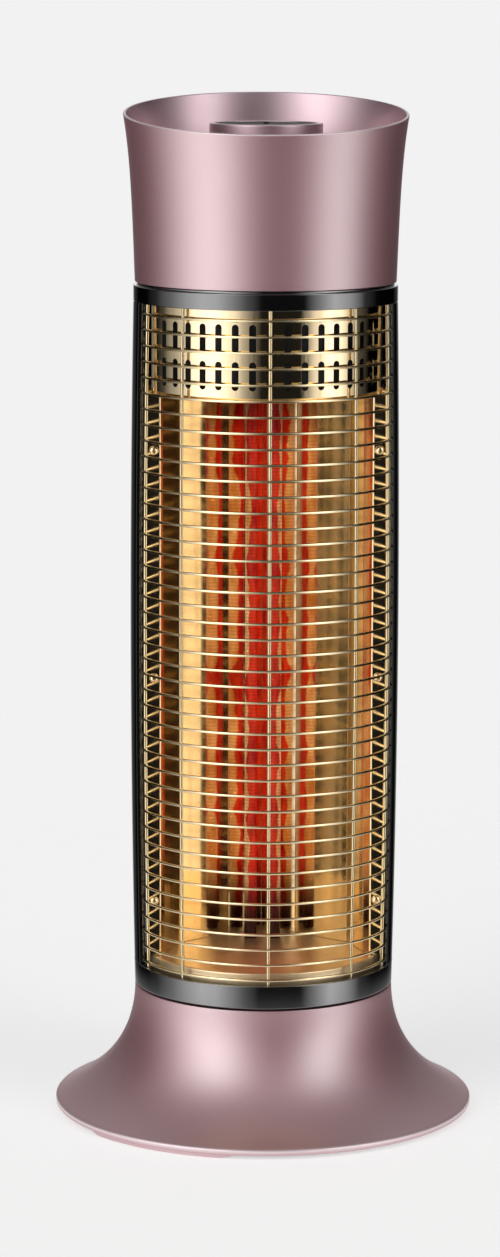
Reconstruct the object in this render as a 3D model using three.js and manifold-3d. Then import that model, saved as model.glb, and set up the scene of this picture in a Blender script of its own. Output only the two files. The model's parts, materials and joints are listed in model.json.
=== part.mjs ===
// Carbon heater: a flared base, a turning tower with two glowing tubes, and a cup-shaped head with a dial.
// Millimetres, +Z up, origin on the floor under the middle of the base. The window faces -Y.
import * as THREE from 'three';
import { mergeVertices } from 'three/addons/utils/BufferGeometryUtils.js';
import Module from 'manifold-3d';

const wasm = await Module();
wasm.setup();

// Fits and steps
const gap = 0.3;
const overrun = 2;
const roundSteps = 32;
const ringSteps = 28;
const dialSteps = 24;
const hiddenSteps = 20;
const smallSteps = 12;
const screwSteps = 8;
const domeSteps = 3;
const leadSteps = 6;
const weldTolerance = 0.0001;
const DEG = Math.PI / 180;

// Base shell
const baseRadius = 140;
const rimHeight = 4.4;
const rimGroundGap = 2.2;
const rimRound = 1;
const neckInset = 0.37;
const neckTop = 84.4;
const neckHandle = 48.6;
const flareHandleWidth = 19.1;
const flareHandleHeight = 9;
const baseWall = 2.2;
const deckDrop = 2.9;
const deckThickness = 2.5;
const deckHoleRadius = 14;
const flareSteps = 6;
const innerFlareSteps = 3;

// Foot skirts under the rim, pads and bottom plate
const skirtAngles = { front: -33, right: 103, back: 215 };
const skirtSpan = 46;
const skirtSteps = 6;
const skirtInset = 0.5;
const skirtGroundGap = 0.3;
const padRadius = 8;
const padHeight = 2.3;
const padInset = 19;
const padCount = 5;
const padStartAngle = 12;
const plateThickness = 2;
const plateRimGap = 2.6;
const baseScrewCount = 3;
const baseScrewStartAngle = 47;
const baseScrewInset = 29;
const baseScrewRadius = 1.6;
const baseScrewHeadRadius = 3.4;
const baseScrewHeadHeight = 1.6;
const baseScrewLength = 9;
const bossRadius = 4.6;
const bossHeight = 30;

// Cord gland at the back of the base
const glandHeight = 19;
const glandSeatRadius = 9;
const glandSeatInset = 9;
const glandSeatDepth = 26;
const glandBodyRadius = 5.4;
const glandBoreRadius = 3.6;
const glandFlangeRadius = 7.2;
const glandFlangeThickness = 2;
const glandNoseLength = 5;
const glandInnerLength = 19;

// Weight, swing motor and bearing
const ballastInset = 40;
const ballastThickness = 6;
const ballastHoleRadius = 22;
const motorRadius = 25;
const motorHeight = 19;
const motorCollarRadius = 6;
const motorCollarRise = 0.5;
const motorEarRadius = 5;
const motorEarReach = 29;
const motorEarThickness = 2;
const bearingInnerRadius = 46;
const bearingOuterRadius = 60;
const shaftRadius = 3.5;
const shaftLength = 14;

// Tip-over switch
const tipInset = 32;
const tipAngle = 150;
const tipTravel = 4;
const tipGroundGap = 0.2;
const tipChamfer = 0.4;
const tipStemRadius = 3;
const tipCollarRadius = 5.6;
const tipCollarHeight = 2;
const tipPinRadius = 1.6;
const tipBodyRadius = 9;
const tipBodyInnerRadius = 6.2;
const tipBodyHeight = 24;
const tipCapThickness = 2;
const springRadius = 4;
const springWire = 0.45;
const springTurns = 4;
const springSides = 4;
const springStepsPerTurn = 6;

// Tower: the barrel of the housing, seams and rings
const towerMidRadius = 89.3;
const towerSag = 2.4;
const towerMidHeight = 325;
const towerHalfHeight = 230;
const seam = 1.4;
const lowerRingHeight = 15.2;
const windowHeight = 441.7;
const upperRingHeight = 10.7;
const headSeam = 1.8;
const seamDepth = 1.2;
const ringChamfer = 0.8;
const ledgeReach = 16.4;
const ledgeThickness = 2.3;
const turntableThickness = 2.5;
const hubRadius = 10;
const hubHeight = 12;
const lowerDeckThickness = 1.5;
const spigotHeight = 6.6;
const spigotWall = 2;
const upperDeckThickness = 1.5;

// Rear cover with its vents
const windowHalfAngle = 73.5;
const coverWall = 1;
const coverLip = 5;
const coverArcSteps = 16;
const coverLevels = 4;
const ventLength = 34;
const ventWidth = 4;
const ventPitch = 9;
const ventRows = 5;
const ventColumnOffset = 26;
const ventEndSteps = 2;
const lowVentRise = 31;
const highVentDrop = 74.7;

// Wire guard
const wireRadius = 0.9;
const uprightRadius = 1.1;
const guardInset = 1.5;
const wireCount = 43;
const wireHalfAngle = 70.3;
const bottomWireRise = 3.6;
const topWireDrop = 6.6;
const uprightAngles = [-68.2, -41.5, 0, 41.5, 68.2];
const wideSpan = 26;

// Pans, reflector and rails
const sheet = 1;
const panInset = 3.4;
const floorPanRise = 6.9;
const panRound = 1;
const flangeInset = 5.57;
const flangeAngle = 69.44;
const flangeWidth = 8.9;
const mirrorDepth = 70.7;
const mirrorDrop = 54.7;
const foldWidthShares = [0.812, 0.59, 0.33, 0.21];
const foldDepthShares = [0.511, 0.69, 0.92, 0.953];
const railWidth = 6.9;
const railDepth = 8;
const railWall = 1.2;
const railInset = 1.2;
const drumInset = 3;

// Flange screws
const flangeScrewRise = 37.6;
const flangeScrewDrop = 41.1;
const flangeScrewRows = 3;
const flangeScrewHeadRadius = 3.1;
const flangeScrewHeadHeight = 2.2;
const flangeScrewRadius = 1.5;
const flangeScrewLength = 6;

// Carbon tubes
const tubeAcross = 8;
const tubeBack = 22.3;
const tubeRadius = 5.2;
const tubeWall = 1;
const capWall = 1.9;
const capFloor = 2.4;
const elementHalfWidth = 2.9;
const elementThickness = 1;
const elementRise = 29.1;
const elementDrop = 30;
const elementTurns = 4;
const elementStepsPerTurn = 6;
const leadRadius = 0.4;
const leadOverlap = 3;

// Slotted collar
const collarWall = 1;
const collarLap = 3.4;
const slotLength = 18.5;
const slotWidth = 4.5;
const slotPitchAngle = 8;
const slotReach = 7;
const collarEndPitches = 1;
const slotRowRises = { low: 6.4, high: 30.4 };
const slotEndSteps = 2;

// Head cup and control tray
const headNeckInset = 1.03;
const headLean = 4.3;
const headFlare = 5.4;
const headFlarePower = 4;
const headReach = 120;
const rimCentreHeight = 109.4;
const rimTilt = 6.28;
const headWall = 2;
const headLevels = 4;
const headInnerLevels = 3;
const trayHeight = 77;
const trayThickness = 2.2;
const trayLedge = 4;
const trayLedgeThickness = 2;
const trayDish = 1;
const trayMargin = 6;

// Dial and its switch
const dialRadius = 37.2;
const dialHeight = 24.9;
const dialTrayGap = 1.2;
const dialChamfer = 1.2;
const dialWall = 2.4;
const dialRim = 3.6;
const inlayThickness = 1.4;
const inlayDrop = 0.6;
const pointerRadius = 1.8;
const pointerRise = 0.9;
const dialShaftRadius = 3;
const dialHubRadius = 7;
const switchWidth = 30;
const switchHeight = 18;
const switchNeckRadius = 5;
const switchNeckRise = 0.6;

// Small electrical parts
const blockWidth = 44;
const blockDepth = 18;
const blockHeight = 14;
const blockAcross = 30;
const blockPoles = 3;
const blockPoleRadius = 3;
const blockPoleDepth = 9;
const cutoutRadius = 8;
const cutoutHeight = 7;
const cutoutFlangeRadius = 11;
const cutoutFlangeThickness = 1.4;
const cutoutAcross = 34;

// Levels that follow from the sizes above
const ballastRadius = baseRadius - ballastInset;
const tipCircleRadius = ballastRadius - tipInset;
const glandSeatFace = baseRadius - glandSeatInset;
const plateBottom = padHeight + gap;
const plateTop = plateBottom + plateThickness;
const rimTop = rimGroundGap + rimHeight;
const neckRadius = bodyRadius(neckTop) - neckInset;
const deckTop = neckTop - deckDrop;
const deckBottom = deckTop - deckThickness;
const lowerRingBottom = neckTop + seam;
const lowerRingTop = lowerRingBottom + lowerRingHeight;
const ledgeInnerRadius = uprightBack(lowerRingTop) - ledgeReach;
const drumRadius = ledgeInnerRadius + drumInset;
const floorPanRadius = uprightBack(lowerRingTop) - panInset;
const turntableBottom = lowerRingBottom + gap;
const turntableTop = turntableBottom + turntableThickness;
const lowerLedgeBottom = turntableTop + gap;
const lowerLedgeTop = lowerLedgeBottom + ledgeThickness;
const lowerDeckBottom = lowerLedgeTop + gap;
const lowerDeckTop = lowerDeckBottom + lowerDeckThickness;
const upperRingBottom = lowerRingTop + windowHeight;
const upperRingTop = upperRingBottom + upperRingHeight;
const upperLedgeTop = upperRingTop - upperRingHeight / 2;
const upperLedgeBottom = upperLedgeTop - ledgeThickness;
const headBottom = upperRingTop + headSeam;
const headNeckRadius = bodyRadius(upperRingTop) - headNeckInset;
const spigotOuter = headNeckRadius - headWall - gap;
const spigotInner = spigotOuter - spigotWall;
const flangeCorner = towerMidRadius - flangeInset;
const flangeOuter = flangeCorner * Math.sin(flangeAngle * DEG);
const flangeInner = flangeOuter - flangeWidth;
const flangeFront = flangeCorner * Math.cos(flangeAngle * DEG);
const flangeScrewAcross = flangeOuter - flangeWidth / 2;
const floorPanTop = lowerRingTop + floorPanRise;
const mirrorTop = upperRingBottom - mirrorDrop;
const flangeScrewLow = floorPanTop + flangeScrewRise;
const flangeScrewHigh = mirrorTop - flangeScrewDrop;
const flangeScrewPitch = (flangeScrewHigh - flangeScrewLow) / (flangeScrewRows - 1);
const elementBottom = floorPanTop + elementRise;
const elementTop = mirrorTop - elementDrop;
const collarBottom = mirrorTop - collarLap;
const terminalPanBottom = mirrorTop + gap;
const bottomWire = lowerRingTop + bottomWireRise;
const topWire = upperRingBottom - topWireDrop;
const wirePitch = (topWire - bottomWire) / (wireCount - 1);
const ventGroupBottoms = [lowerRingTop + lowVentRise, upperRingBottom - highVentDrop];
const collarRadius = guardRadius(upperLedgeBottom) * Math.cos(wideSpan * DEG / 2) - wireRadius - gap;
const collarFlat = (collarRadius - collarWall) * Math.cos(slotPitchAngle * DEG / 2);
const terminalPanRadius = collarFlat - gap;
const trayTop = headBottom + trayHeight;
const trayBottom = trayTop - trayThickness;
const dialBottom = trayTop + dialTrayGap;
const dialTop = dialBottom + dialHeight;

// Finishes
const rose = { color: 0xb49098, roughness: 0.34, metalness: 0.85 };
const glossBlack = { color: 0x0b0b0d, roughness: 0.12, metalness: 0.1 };
const gold = { color: 0xd9a441, roughness: 0.12, metalness: 1 };
const brassWire = { color: 0xd8bd7a, roughness: 0.22, metalness: 1 };
const steel = { color: 0xa9abad, roughness: 0.35, metalness: 0.9 };
const mattBlack = { color: 0x1b1b1d, roughness: 0.6, metalness: 0 };
const rubber = { color: 0x141414, roughness: 0.9, metalness: 0 };
const ceramic = { color: 0xe9e4d8, roughness: 0.7, metalness: 0 };
const quartz = { color: 0xd8d8d8, roughness: 0.05, metalness: 0, transparent: true, opacity: 0.35 };
const carbon = { color: 0xe0331a, roughness: 0.6, metalness: 0 };

// Radius of the barrel-shaped housing at a height
function bodyRadius(z) {
  const share = (z - towerMidHeight) / towerHalfHeight;
  return towerMidRadius - towerSag * share * share;
}

// Radius of the head's outside at a height
function headRadius(z) {
  const share = (z - headBottom) / headReach;
  return headNeckRadius + headLean * share + headFlare * Math.pow(share, headFlarePower);
}

// A point on a circle, its angle counted from the front (-Y) towards +X
function polar(radius, degrees) {
  return new THREE.Vector2(radius * Math.sin(degrees * DEG), -radius * Math.cos(degrees * DEG));
}

// Radius of the largest circle inside a bore with flat facets
function clearRadius(radius, steps) {
  return radius * Math.cos(Math.PI / steps);
}

// Radius of a bore with flat facets that clears a round pin
function boreRadius(pin, steps) {
  return (pin + gap) / Math.cos(Math.PI / steps);
}

// Six times the volume inside a closed geometry
function signedVolume(geometry) {
  const place = geometry.getAttribute('position');
  const index = geometry.getIndex();
  const corners = [new THREE.Vector3(), new THREE.Vector3(), new THREE.Vector3()];
  let sum = 0;
  for (let i = 0; i < index.count; i += corners.length) {
    corners.forEach((corner, k) => corner.fromBufferAttribute(place, index.getX(i + k)));
    sum += corners[0].dot(corners[1].clone().cross(corners[2]));
  }
  return sum;
}

// Turns a closed geometry's faces outwards
function faceOut(geometry) {
  if (signedVolume(geometry) >= 0) return geometry;
  const index = geometry.getIndex().array;
  for (let i = 0; i < index.length; i += 3) [index[i], index[i + 1]] = [index[i + 1], index[i]];
  return geometry;
}

// Merges the shared corners of a geometry so that it closes
function weld(geometry) {
  geometry.deleteAttribute('normal');
  geometry.deleteAttribute('uv');
  return faceOut(mergeVertices(geometry, weldTolerance));
}

// A solid that can be joined and cut
function solid(geometry) {
  const welded = weld(geometry);
  const vertProperties = Float32Array.from(welded.getAttribute('position').array);
  const triVerts = Uint32Array.from(welded.getIndex().array);
  return new wasm.Manifold(new wasm.Mesh({ numProp: 3, vertProperties, triVerts }));
}

// The geometry of a joined or cut solid
function shape(body) {
  const mesh = body.getMesh();
  const geometry = new THREE.BufferGeometry();
  geometry.setAttribute('position', new THREE.BufferAttribute(mesh.vertProperties, 3));
  geometry.setIndex(new THREE.BufferAttribute(mesh.triVerts, 1));
  geometry.computeVertexNormals();
  return geometry;
}

// Joins solids into one
function joined(...bodies) {
  return bodies.reduce((all, next) => all.add(next));
}

// Cuts every cutter out of a solid
function cut(body, ...cutters) {
  return cutters.reduce((rest, next) => rest.subtract(next), body);
}

// A revolved outline of [radius, height] points round +Z
function revolved(outline, steps) {
  const points = outline.map(([r, z]) => new THREE.Vector2(r, z));
  const geometry = new THREE.LatheGeometry(points, steps);
  geometry.rotateX(Math.PI / 2);
  return geometry;
}

// A revolved ring, whose outline closes on itself
function revolvedRing(outline, steps) {
  return revolved([...outline, outline[0]], steps);
}

// A level plate of an outline, from one height to another
function plate(outline, bottom, top) {
  const options = { depth: top - bottom, bevelEnabled: false, curveSegments: 1 };
  const geometry = new THREE.ExtrudeGeometry(outline, options);
  geometry.translate(0, 0, bottom);
  return geometry;
}

// Points of a circle in plan
function circlePoints(radius, steps, x = 0, y = 0) {
  const points = [];
  for (let i = 0; i < steps; i++) {
    const angle = 2 * Math.PI * i / steps;
    points.push(new THREE.Vector2(x + radius * Math.cos(angle), y + radius * Math.sin(angle)));
  }
  return points;
}

// A round plate with round holes, each hole given as [x, y, radius]
function roundPlate(radius, bottom, top, holes = []) {
  const outline = new THREE.Shape(circlePoints(radius, ringSteps));
  for (const [x, y, holeRadius] of holes) {
    const rim = circlePoints(holeRadius, smallSteps, x, y);
    outline.holes.push(new THREE.Path(rim.reverse()));
  }
  return plate(outline, bottom, top);
}

// An upright round bar at a place
function bar(radius, bottom, top, x = 0, y = 0, steps = smallSteps) {
  return plate(new THREE.Shape(circlePoints(radius, steps, x, y)), bottom, top);
}

// A round bar that lies along Y
function levelBar(radius, front, back, x, z, steps = smallSteps) {
  const geometry = new THREE.CylinderGeometry(radius, radius, back - front, steps);
  geometry.translate(x, (front + back) / 2, z);
  return geometry;
}

// A block between two corners
function block(low, high) {
  const size = high.map((value, i) => value - low[i]);
  const geometry = new THREE.BoxGeometry(...size);
  geometry.translate(...low.map((value, i) => value + size[i] / 2));
  return geometry;
}

// Points of an arc in plan
function arcPoints(radius, from, to, steps) {
  const points = [];
  for (let i = 0; i <= steps; i++) points.push(polar(radius, from + (to - from) * i / steps));
  return points;
}

// A closed body through level loops of matching points, from the bottom loop to the top one
function stacked(loops) {
  const size = loops[0].length;
  const places = loops.flat().flatMap((point) => [point.x, point.y, point.z]);
  const index = [];
  for (let level = 0; level + 1 < loops.length; level++) {
    for (let i = 0; i < size; i++) {
      const a = level * size + i;
      const b = level * size + (i + 1) % size;
      index.push(a, b, b + size, a, b + size, a + size);
    }
  }
  const flat = loops[0].map((point) => new THREE.Vector2(point.x, point.y));
  const last = (loops.length - 1) * size;
  for (const [a, b, c] of THREE.ShapeUtils.triangulateShape(flat, [])) {
    index.push(a, c, b);
    index.push(last + a, last + b, last + c);
  }
  return indexed(places, index);
}

// A closed ring whose outline of points changes with the angle round +Z
function turnedSection(sectionAt, steps) {
  const places = [];
  const index = [];
  let size = 0;
  for (let i = 0; i < steps; i++) {
    const angle = 360 * i / steps;
    const section = sectionAt(angle);
    size = section.length;
    section.forEach(([r, z]) => {
      const point = polar(r, angle);
      places.push(point.x, point.y, z);
    });
  }
  for (let i = 0; i < steps; i++) {
    const here = i * size;
    const next = ((i + 1) % steps) * size;
    for (let j = 0; j < size; j++) {
      const k = (j + 1) % size;
      index.push(here + j, next + j, next + k, here + j, next + k, here + k);
    }
  }
  return indexed(places, index);
}

// A path given by a function of a share from 0 to 1
class FormulaPath extends THREE.Curve {
  constructor(formula) {
    super();
    this.formula = formula;
  }

  getPoint(share, target = new THREE.Vector3()) {
    return target.copy(this.formula(share));
  }
}

// A geometry from corner places and triangle indices
function indexed(places, index) {
  const geometry = new THREE.BufferGeometry();
  geometry.setAttribute('position', new THREE.BufferAttribute(new Float32Array(places), 3));
  geometry.setIndex(index);
  return geometry;
}

// Corners and faces that are gathered for a lattice
class FaceList {
  places = [];
  index = [];

  corner(radius, degrees, z) {
    const point = polar(radius, degrees);
    this.places.push(point.x, point.y, z);
    return this.places.length / 3 - 1;
  }

  quad(a, b, c, d) {
    this.index.push(a, b, c, a, c, d);
  }

  // Walls between two loops of matching corners, the first one below
  sleeve(low, high) {
    low.forEach((corner, i) => {
      const next = (i + 1) % low.length;
      this.quad(corner, low[next], high[next], high[i]);
    });
  }
}

// A wire of a few sides along a path
function wire(formula, radius, sides, steps) {
  const section = new THREE.Shape(circlePoints(radius, sides));
  const extrudePath = new FormulaPath(formula);
  return new THREE.ExtrudeGeometry(section, { steps, extrudePath, curveSegments: 1 });
}

// A ring sector in plan between two radii
function sector(inner, outer, from, to, steps) {
  return new THREE.Shape([...arcPoints(outer, from, to, steps), ...arcPoints(inner, to, from, steps)]);
}

const heater = new THREE.Group();

// Adds a named piece with its finish to the heater
function add(name, geometry, finish) {
  const mesh = new THREE.Mesh(weld(geometry), new THREE.MeshStandardMaterial(finish));
  mesh.geometry.computeVertexNormals();
  mesh.name = name;
  heater.add(mesh);
}

// Base shell: the trumpet curve outside, an even wall inside and a deck across the neck
function baseOutline() {
  const rimEdge = baseRadius - rimRound;
  const curve = new THREE.CubicBezierCurve(
    new THREE.Vector2(neckRadius, neckTop),
    new THREE.Vector2(neckRadius, neckTop - neckHandle),
    new THREE.Vector2(rimEdge - flareHandleWidth, rimTop + flareHandleHeight),
    new THREE.Vector2(rimEdge, rimTop)
  );
  const outside = curve.getPoints(flareSteps).map((point) => [point.x, point.y]);
  const inside = [];
  for (let i = 0; i <= innerFlareSteps; i++) {
    const point = curve.getPoint(i / innerFlareSteps);
    const along = curve.getTangent(i / innerFlareSteps);
    inside.push([point.x + along.y * baseWall, point.y - along.x * baseWall]);
  }
  return { outside, inside };
}

function baseShell() {
  const { outside, inside } = baseOutline();
  const neckInside = neckRadius - baseWall;
  const rimInside = baseRadius - baseWall;
  const underDeck = inside.filter(([, z]) => z < deckBottom - baseWall);
  const ring = [
    ...outside,
    [baseRadius, rimTop - rimRound],
    [baseRadius, rimGroundGap],
    [rimInside, rimGroundGap],
    ...underDeck.reverse(),
    [neckInside, deckBottom],
    [deckHoleRadius, deckBottom],
    [deckHoleRadius, deckTop],
    [neckInside, deckTop],
    [neckInside, neckTop],
  ];
  const filledProfile = [[0, 0], [baseRadius, 0], ...[...outside].reverse(), [0, neckTop]];
  const filled = solid(revolved(filledProfile, roundSteps));
  let body = solid(revolvedRing(ring, roundSteps));
  for (const angle of Object.values(skirtAngles)) {
    const inner = baseRadius - baseWall;
    const start = angle - skirtSpan / 2;
    const outline = sector(inner, baseRadius - skirtInset, start, start + skirtSpan, skirtSteps);
    body = body.add(solid(plate(outline, skirtGroundGap, rimGroundGap + rimHeight / 2)));
  }
  for (const place of screwPlaces()) {
    const boss = solid(bar(bossRadius, plateTop + gap, plateTop + bossHeight, place.x, place.y, screwSteps));
    body = body.add(boss.intersect(filled));
  }
  const seatFront = glandSeatFace - glandSeatDepth;
  body = body.add(solid(levelBar(glandSeatRadius, seatFront, glandSeatFace, 0, glandHeight)));
  const holes = screwPlaces().map((place) =>
    solid(bar(baseScrewRadius + gap, plateTop, plateTop + baseScrewLength, place.x, place.y, screwSteps)));
  const glandHoleRadius = glandBodyRadius + gap;
  const glandHoleEnd = glandSeatFace + overrun;
  const glandHole = solid(levelBar(glandHoleRadius, seatFront - overrun, glandHoleEnd, 0, glandHeight));
  return shape(cut(body, ...holes, glandHole));
}

function screwPlaces() {
  const places = [];
  for (let i = 0; i < baseScrewCount; i++) {
    places.push(polar(baseRadius - baseScrewInset, baseScrewStartAngle + 360 * i / baseScrewCount));
  }
  return places;
}

function tipPlace() {
  return polar(tipCircleRadius, tipAngle);
}

function basePlate() {
  const tip = tipPlace();
  const holes = screwPlaces().map((place) => [place.x, place.y, baseScrewRadius + gap]);
  holes.push([tip.x, tip.y, tipStemRadius + gap]);
  return roundPlate(baseRadius - baseWall - plateRimGap, plateBottom, plateTop, holes);
}

function ballastPlate() {
  const tip = tipPlace();
  const bottom = plateTop + gap;
  const holes = [[0, 0, ballastHoleRadius], [tip.x, tip.y, tipBodyRadius + gap]];
  return roundPlate(ballastRadius, bottom, bottom + ballastThickness, holes);
}

function addFeet() {
  for (let i = 0; i < padCount; i++) {
    const place = polar(baseRadius - padInset, padStartAngle + 360 * i / padCount);
    add(`foot_pad_${i + 1}`, bar(padRadius, 0, padHeight, place.x, place.y), rubber);
  }
  screwPlaces().forEach((place, i) => {
    const headTop = plateBottom - gap;
    const headBottom = headTop - baseScrewHeadHeight;
    const shankBottom = headTop - baseScrewHeadHeight / 2;
    const tip = plateTop + baseScrewLength - gap;
    const head = bar(baseScrewHeadRadius, headBottom, headTop, place.x, place.y, screwSteps);
    const shank = bar(baseScrewRadius, shankBottom, tip, place.x, place.y, screwSteps);
    add(`base_screw_${i + 1}`, shape(joined(solid(head), solid(shank))), steel);
  });
}

// Cord gland: a bush with a flange outside its seat and a bore along Y
function cordGland() {
  const seat = glandSeatFace + gap;
  const inner = seat - glandInnerLength;
  const nose = seat + glandFlangeThickness + glandNoseLength;
  const body = solid(levelBar(glandBodyRadius, inner, nose, 0, glandHeight));
  const flange = solid(levelBar(glandFlangeRadius, seat, seat + glandFlangeThickness, 0, glandHeight));
  const bore = solid(levelBar(glandBoreRadius, inner - overrun, nose + overrun, 0, glandHeight));
  return shape(cut(joined(body, flange), bore));
}

// Swing motor: a geared can with two ears and a collar round its shaft
function swingMotor() {
  const top = deckBottom - gap;
  const can = solid(bar(motorRadius, top - motorHeight, top, 0, 0, hiddenSteps));
  const collar = solid(bar(motorCollarRadius, top - motorEarThickness, deckTop + motorCollarRise));
  const ears = [-1, 1].map((side) =>
    solid(bar(motorEarRadius, top - motorEarThickness, top, side * motorEarReach, 0)));
  return shape(joined(can, collar, ...ears));
}

function swivelBearing() {
  const bottom = deckTop + gap;
  const top = turntableBottom - gap;
  return revolvedRing([
    [bearingInnerRadius, bottom],
    [bearingOuterRadius, bottom],
    [bearingOuterRadius, top],
    [bearingInnerRadius, top],
  ], hiddenSteps);
}

// Tip-over switch: a capped barrel, a sprung plunger that feels the floor
function addTipSwitch() {
  const { x, y } = tipPlace();
  const bottom = plateTop + gap;
  const top = bottom + tipBodyHeight;
  const capBottom = top - tipCapThickness;
  const barrel = revolvedRing([
    [tipBodyInnerRadius, bottom],
    [tipBodyRadius, bottom],
    [tipBodyRadius, top],
    [tipPinRadius + gap, top],
    [tipPinRadius + gap, capBottom],
    [tipBodyInnerRadius, capBottom],
  ], smallSteps);
  barrel.translate(x, y, 0);
  add('tip_switch_body', barrel, mattBlack);

  const shoulderBottom = bottom + tipTravel;
  const shoulderTop = shoulderBottom + tipCollarHeight;
  const plunger = revolved([
    [0, tipGroundGap],
    [tipStemRadius - tipChamfer, tipGroundGap],
    [tipStemRadius, tipGroundGap + tipChamfer],
    [tipStemRadius, shoulderBottom],
    [tipCollarRadius, shoulderBottom],
    [tipCollarRadius, shoulderTop],
    [tipPinRadius, shoulderTop],
    [tipPinRadius, top + tipTravel],
    [0, top + tipTravel],
  ], smallSteps);
  plunger.translate(x, y, 0);
  add('tip_plunger', plunger, ceramic);

  const springBottom = shoulderTop + gap + springWire;
  const springTop = capBottom - gap - springWire;
  const helix = (share) => {
    const angle = 2 * Math.PI * springTurns * share;
    const height = springBottom + (springTop - springBottom) * share;
    return new THREE.Vector3(x + springRadius * Math.cos(angle), y + springRadius * Math.sin(angle), height);
  };
  add('tip_spring', wire(helix, springWire, springSides, springTurns * springStepsPerTurn), steel);
}

// Turntable with its hub, the shaft that drives it and the deck above
function turntable() {
  const hubBottom = deckTop + motorCollarRise + gap + gap;
  const bore = shaftRadius + gap;
  const outer = clearRadius(ringInner(lowerRingTop), roundSteps) - gap;
  return revolvedRing([
    [bore, hubBottom],
    [hubRadius, hubBottom],
    [hubRadius, turntableBottom],
    [outer, turntableBottom],
    [outer, turntableTop],
    [hubRadius, turntableTop],
    [hubRadius, hubBottom + hubHeight],
    [bore, hubBottom + hubHeight],
  ], hiddenSteps);
}

// Inside radius of a ring that clears the fronts of the uprights at a height
function ringInner(z) {
  return boreRadius(guardRadius(z), roundSteps);
}

// Lower ring: a gloss wall with a chamfered top and a ledge inside
function lowerRing() {
  const inner = ringInner(lowerRingTop);
  return revolvedRing([
    [bodyRadius(lowerRingBottom), lowerRingBottom],
    [bodyRadius(lowerRingTop), lowerRingTop - ringChamfer],
    [bodyRadius(lowerRingTop) - ringChamfer, lowerRingTop],
    [inner, lowerRingTop],
    [inner, lowerLedgeTop],
    [ledgeInnerRadius, lowerLedgeTop],
    [ledgeInnerRadius, lowerLedgeBottom],
    [inner, lowerLedgeBottom],
    [inner, lowerRingBottom],
  ], roundSteps);
}

// Upper ring: the same wall with a shoulder under the head and a spigot inside it
function upperRing() {
  const inner = ringInner(upperRingBottom);
  const outer = bodyRadius(upperRingBottom);
  const spigotTop = upperRingTop + spigotHeight;
  const shoulder = headNeckRadius - seamDepth;
  return revolvedRing([
    [outer, upperRingBottom],
    [outer, upperRingTop - ringChamfer],
    [outer - ringChamfer, upperRingTop],
    [shoulder, upperRingTop],
    [shoulder, headBottom - gap],
    [spigotOuter, headBottom - gap],
    [spigotOuter, spigotTop],
    [spigotInner, spigotTop],
    [spigotInner, upperLedgeTop],
    [ledgeInnerRadius, upperLedgeTop],
    [ledgeInnerRadius, upperLedgeBottom],
    [inner, upperLedgeBottom],
    [inner, upperRingBottom],
  ], roundSteps);
}

function tubePlaces() {
  return [-1, 1].map((side) => [side * tubeAcross, tubeBack]);
}

// Floor pan: the gold floor under the tubes, with a skirt that stands on the lower deck
function floorPan() {
  const bottom = lowerDeckTop + gap;
  const inner = floorPanRadius - sheet;
  const pan = solid(revolved([
    [0, floorPanTop],
    [floorPanRadius - panRound, floorPanTop],
    [floorPanRadius, floorPanTop - panRound],
    [floorPanRadius, bottom],
    [inner, bottom],
    [inner, floorPanTop - sheet],
    [0, floorPanTop - sheet],
  ], roundSteps));
  return shape(cut(pan, ...tubeHoles(floorPanTop - sheet, floorPanTop)));
}

function tubeHoles(bottom, top) {
  return tubePlaces().map(([x, y]) => solid(bar(tubeRadius + gap, bottom - overrun, top + overrun, x, y)));
}

// Terminal pan: a plate above the mirror with a drum that reaches the upper ledge
function terminalPan() {
  const top = terminalPanBottom + sheet;
  const drumTop = upperLedgeBottom - gap;
  const pan = solid(revolved([
    [0, terminalPanBottom],
    [terminalPanRadius, terminalPanBottom],
    [terminalPanRadius, top],
    [drumRadius, top],
    [drumRadius, drumTop],
    [drumRadius - sheet, drumTop],
    [drumRadius - sheet, top],
    [0, top],
  ], ringSteps));
  return shape(cut(pan, ...tubeHoles(terminalPanBottom, top)));
}

// The mirror's folds from the left flange to the right one, in plan
function mirrorFolds() {
  const half = foldWidthShares.map((share, i) =>
    new THREE.Vector2(flangeInner * share, -flangeFront + mirrorDepth * foldDepthShares[i]));
  const right = [
    new THREE.Vector2(flangeOuter, -flangeFront),
    new THREE.Vector2(flangeInner, -flangeFront),
    ...half,
  ];
  const left = [...right].reverse().map((point) => new THREE.Vector2(-point.x, point.y));
  return [...right, new THREE.Vector2(0, -flangeFront + mirrorDepth), ...left];
}

// The same folds set back by the sheet's thickness, each corner mitred
function setBack(folds, thickness) {
  const normals = folds.slice(1).map((point, i) => {
    const along = point.clone().sub(folds[i]).normalize();
    return new THREE.Vector2(-along.y, along.x).multiplyScalar(-Math.sign(folds[0].x));
  });
  return folds.map((point, i) => {
    const before = normals[Math.max(i - 1, 0)];
    const after = normals[Math.min(i, normals.length - 1)];
    const middle = before.clone().add(after).normalize();
    return point.clone().addScaledVector(middle, thickness / middle.dot(after));
  });
}

function reflector() {
  const front = mirrorFolds();
  const back = setBack(front, sheet);
  const body = solid(plate(new THREE.Shape([...front, ...back.reverse()]), floorPanTop + gap, mirrorTop));
  const holeRadius = flangeScrewRadius + gap;
  const holeStart = -flangeFront - overrun;
  const holeEnd = -flangeFront + sheet + overrun;
  const holes = flangeScrewPlaces().map(([x, z]) =>
    solid(levelBar(holeRadius, holeStart, holeEnd, x, z, screwSteps)));
  return shape(cut(body, ...holes));
}

function flangeScrewPlaces() {
  const places = [];
  for (const side of [-1, 1]) {
    for (let row = 0; row < flangeScrewRows; row++) {
      places.push([side * flangeScrewAcross, flangeScrewLow + row * flangeScrewPitch]);
    }
  }
  return places;
}

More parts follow.
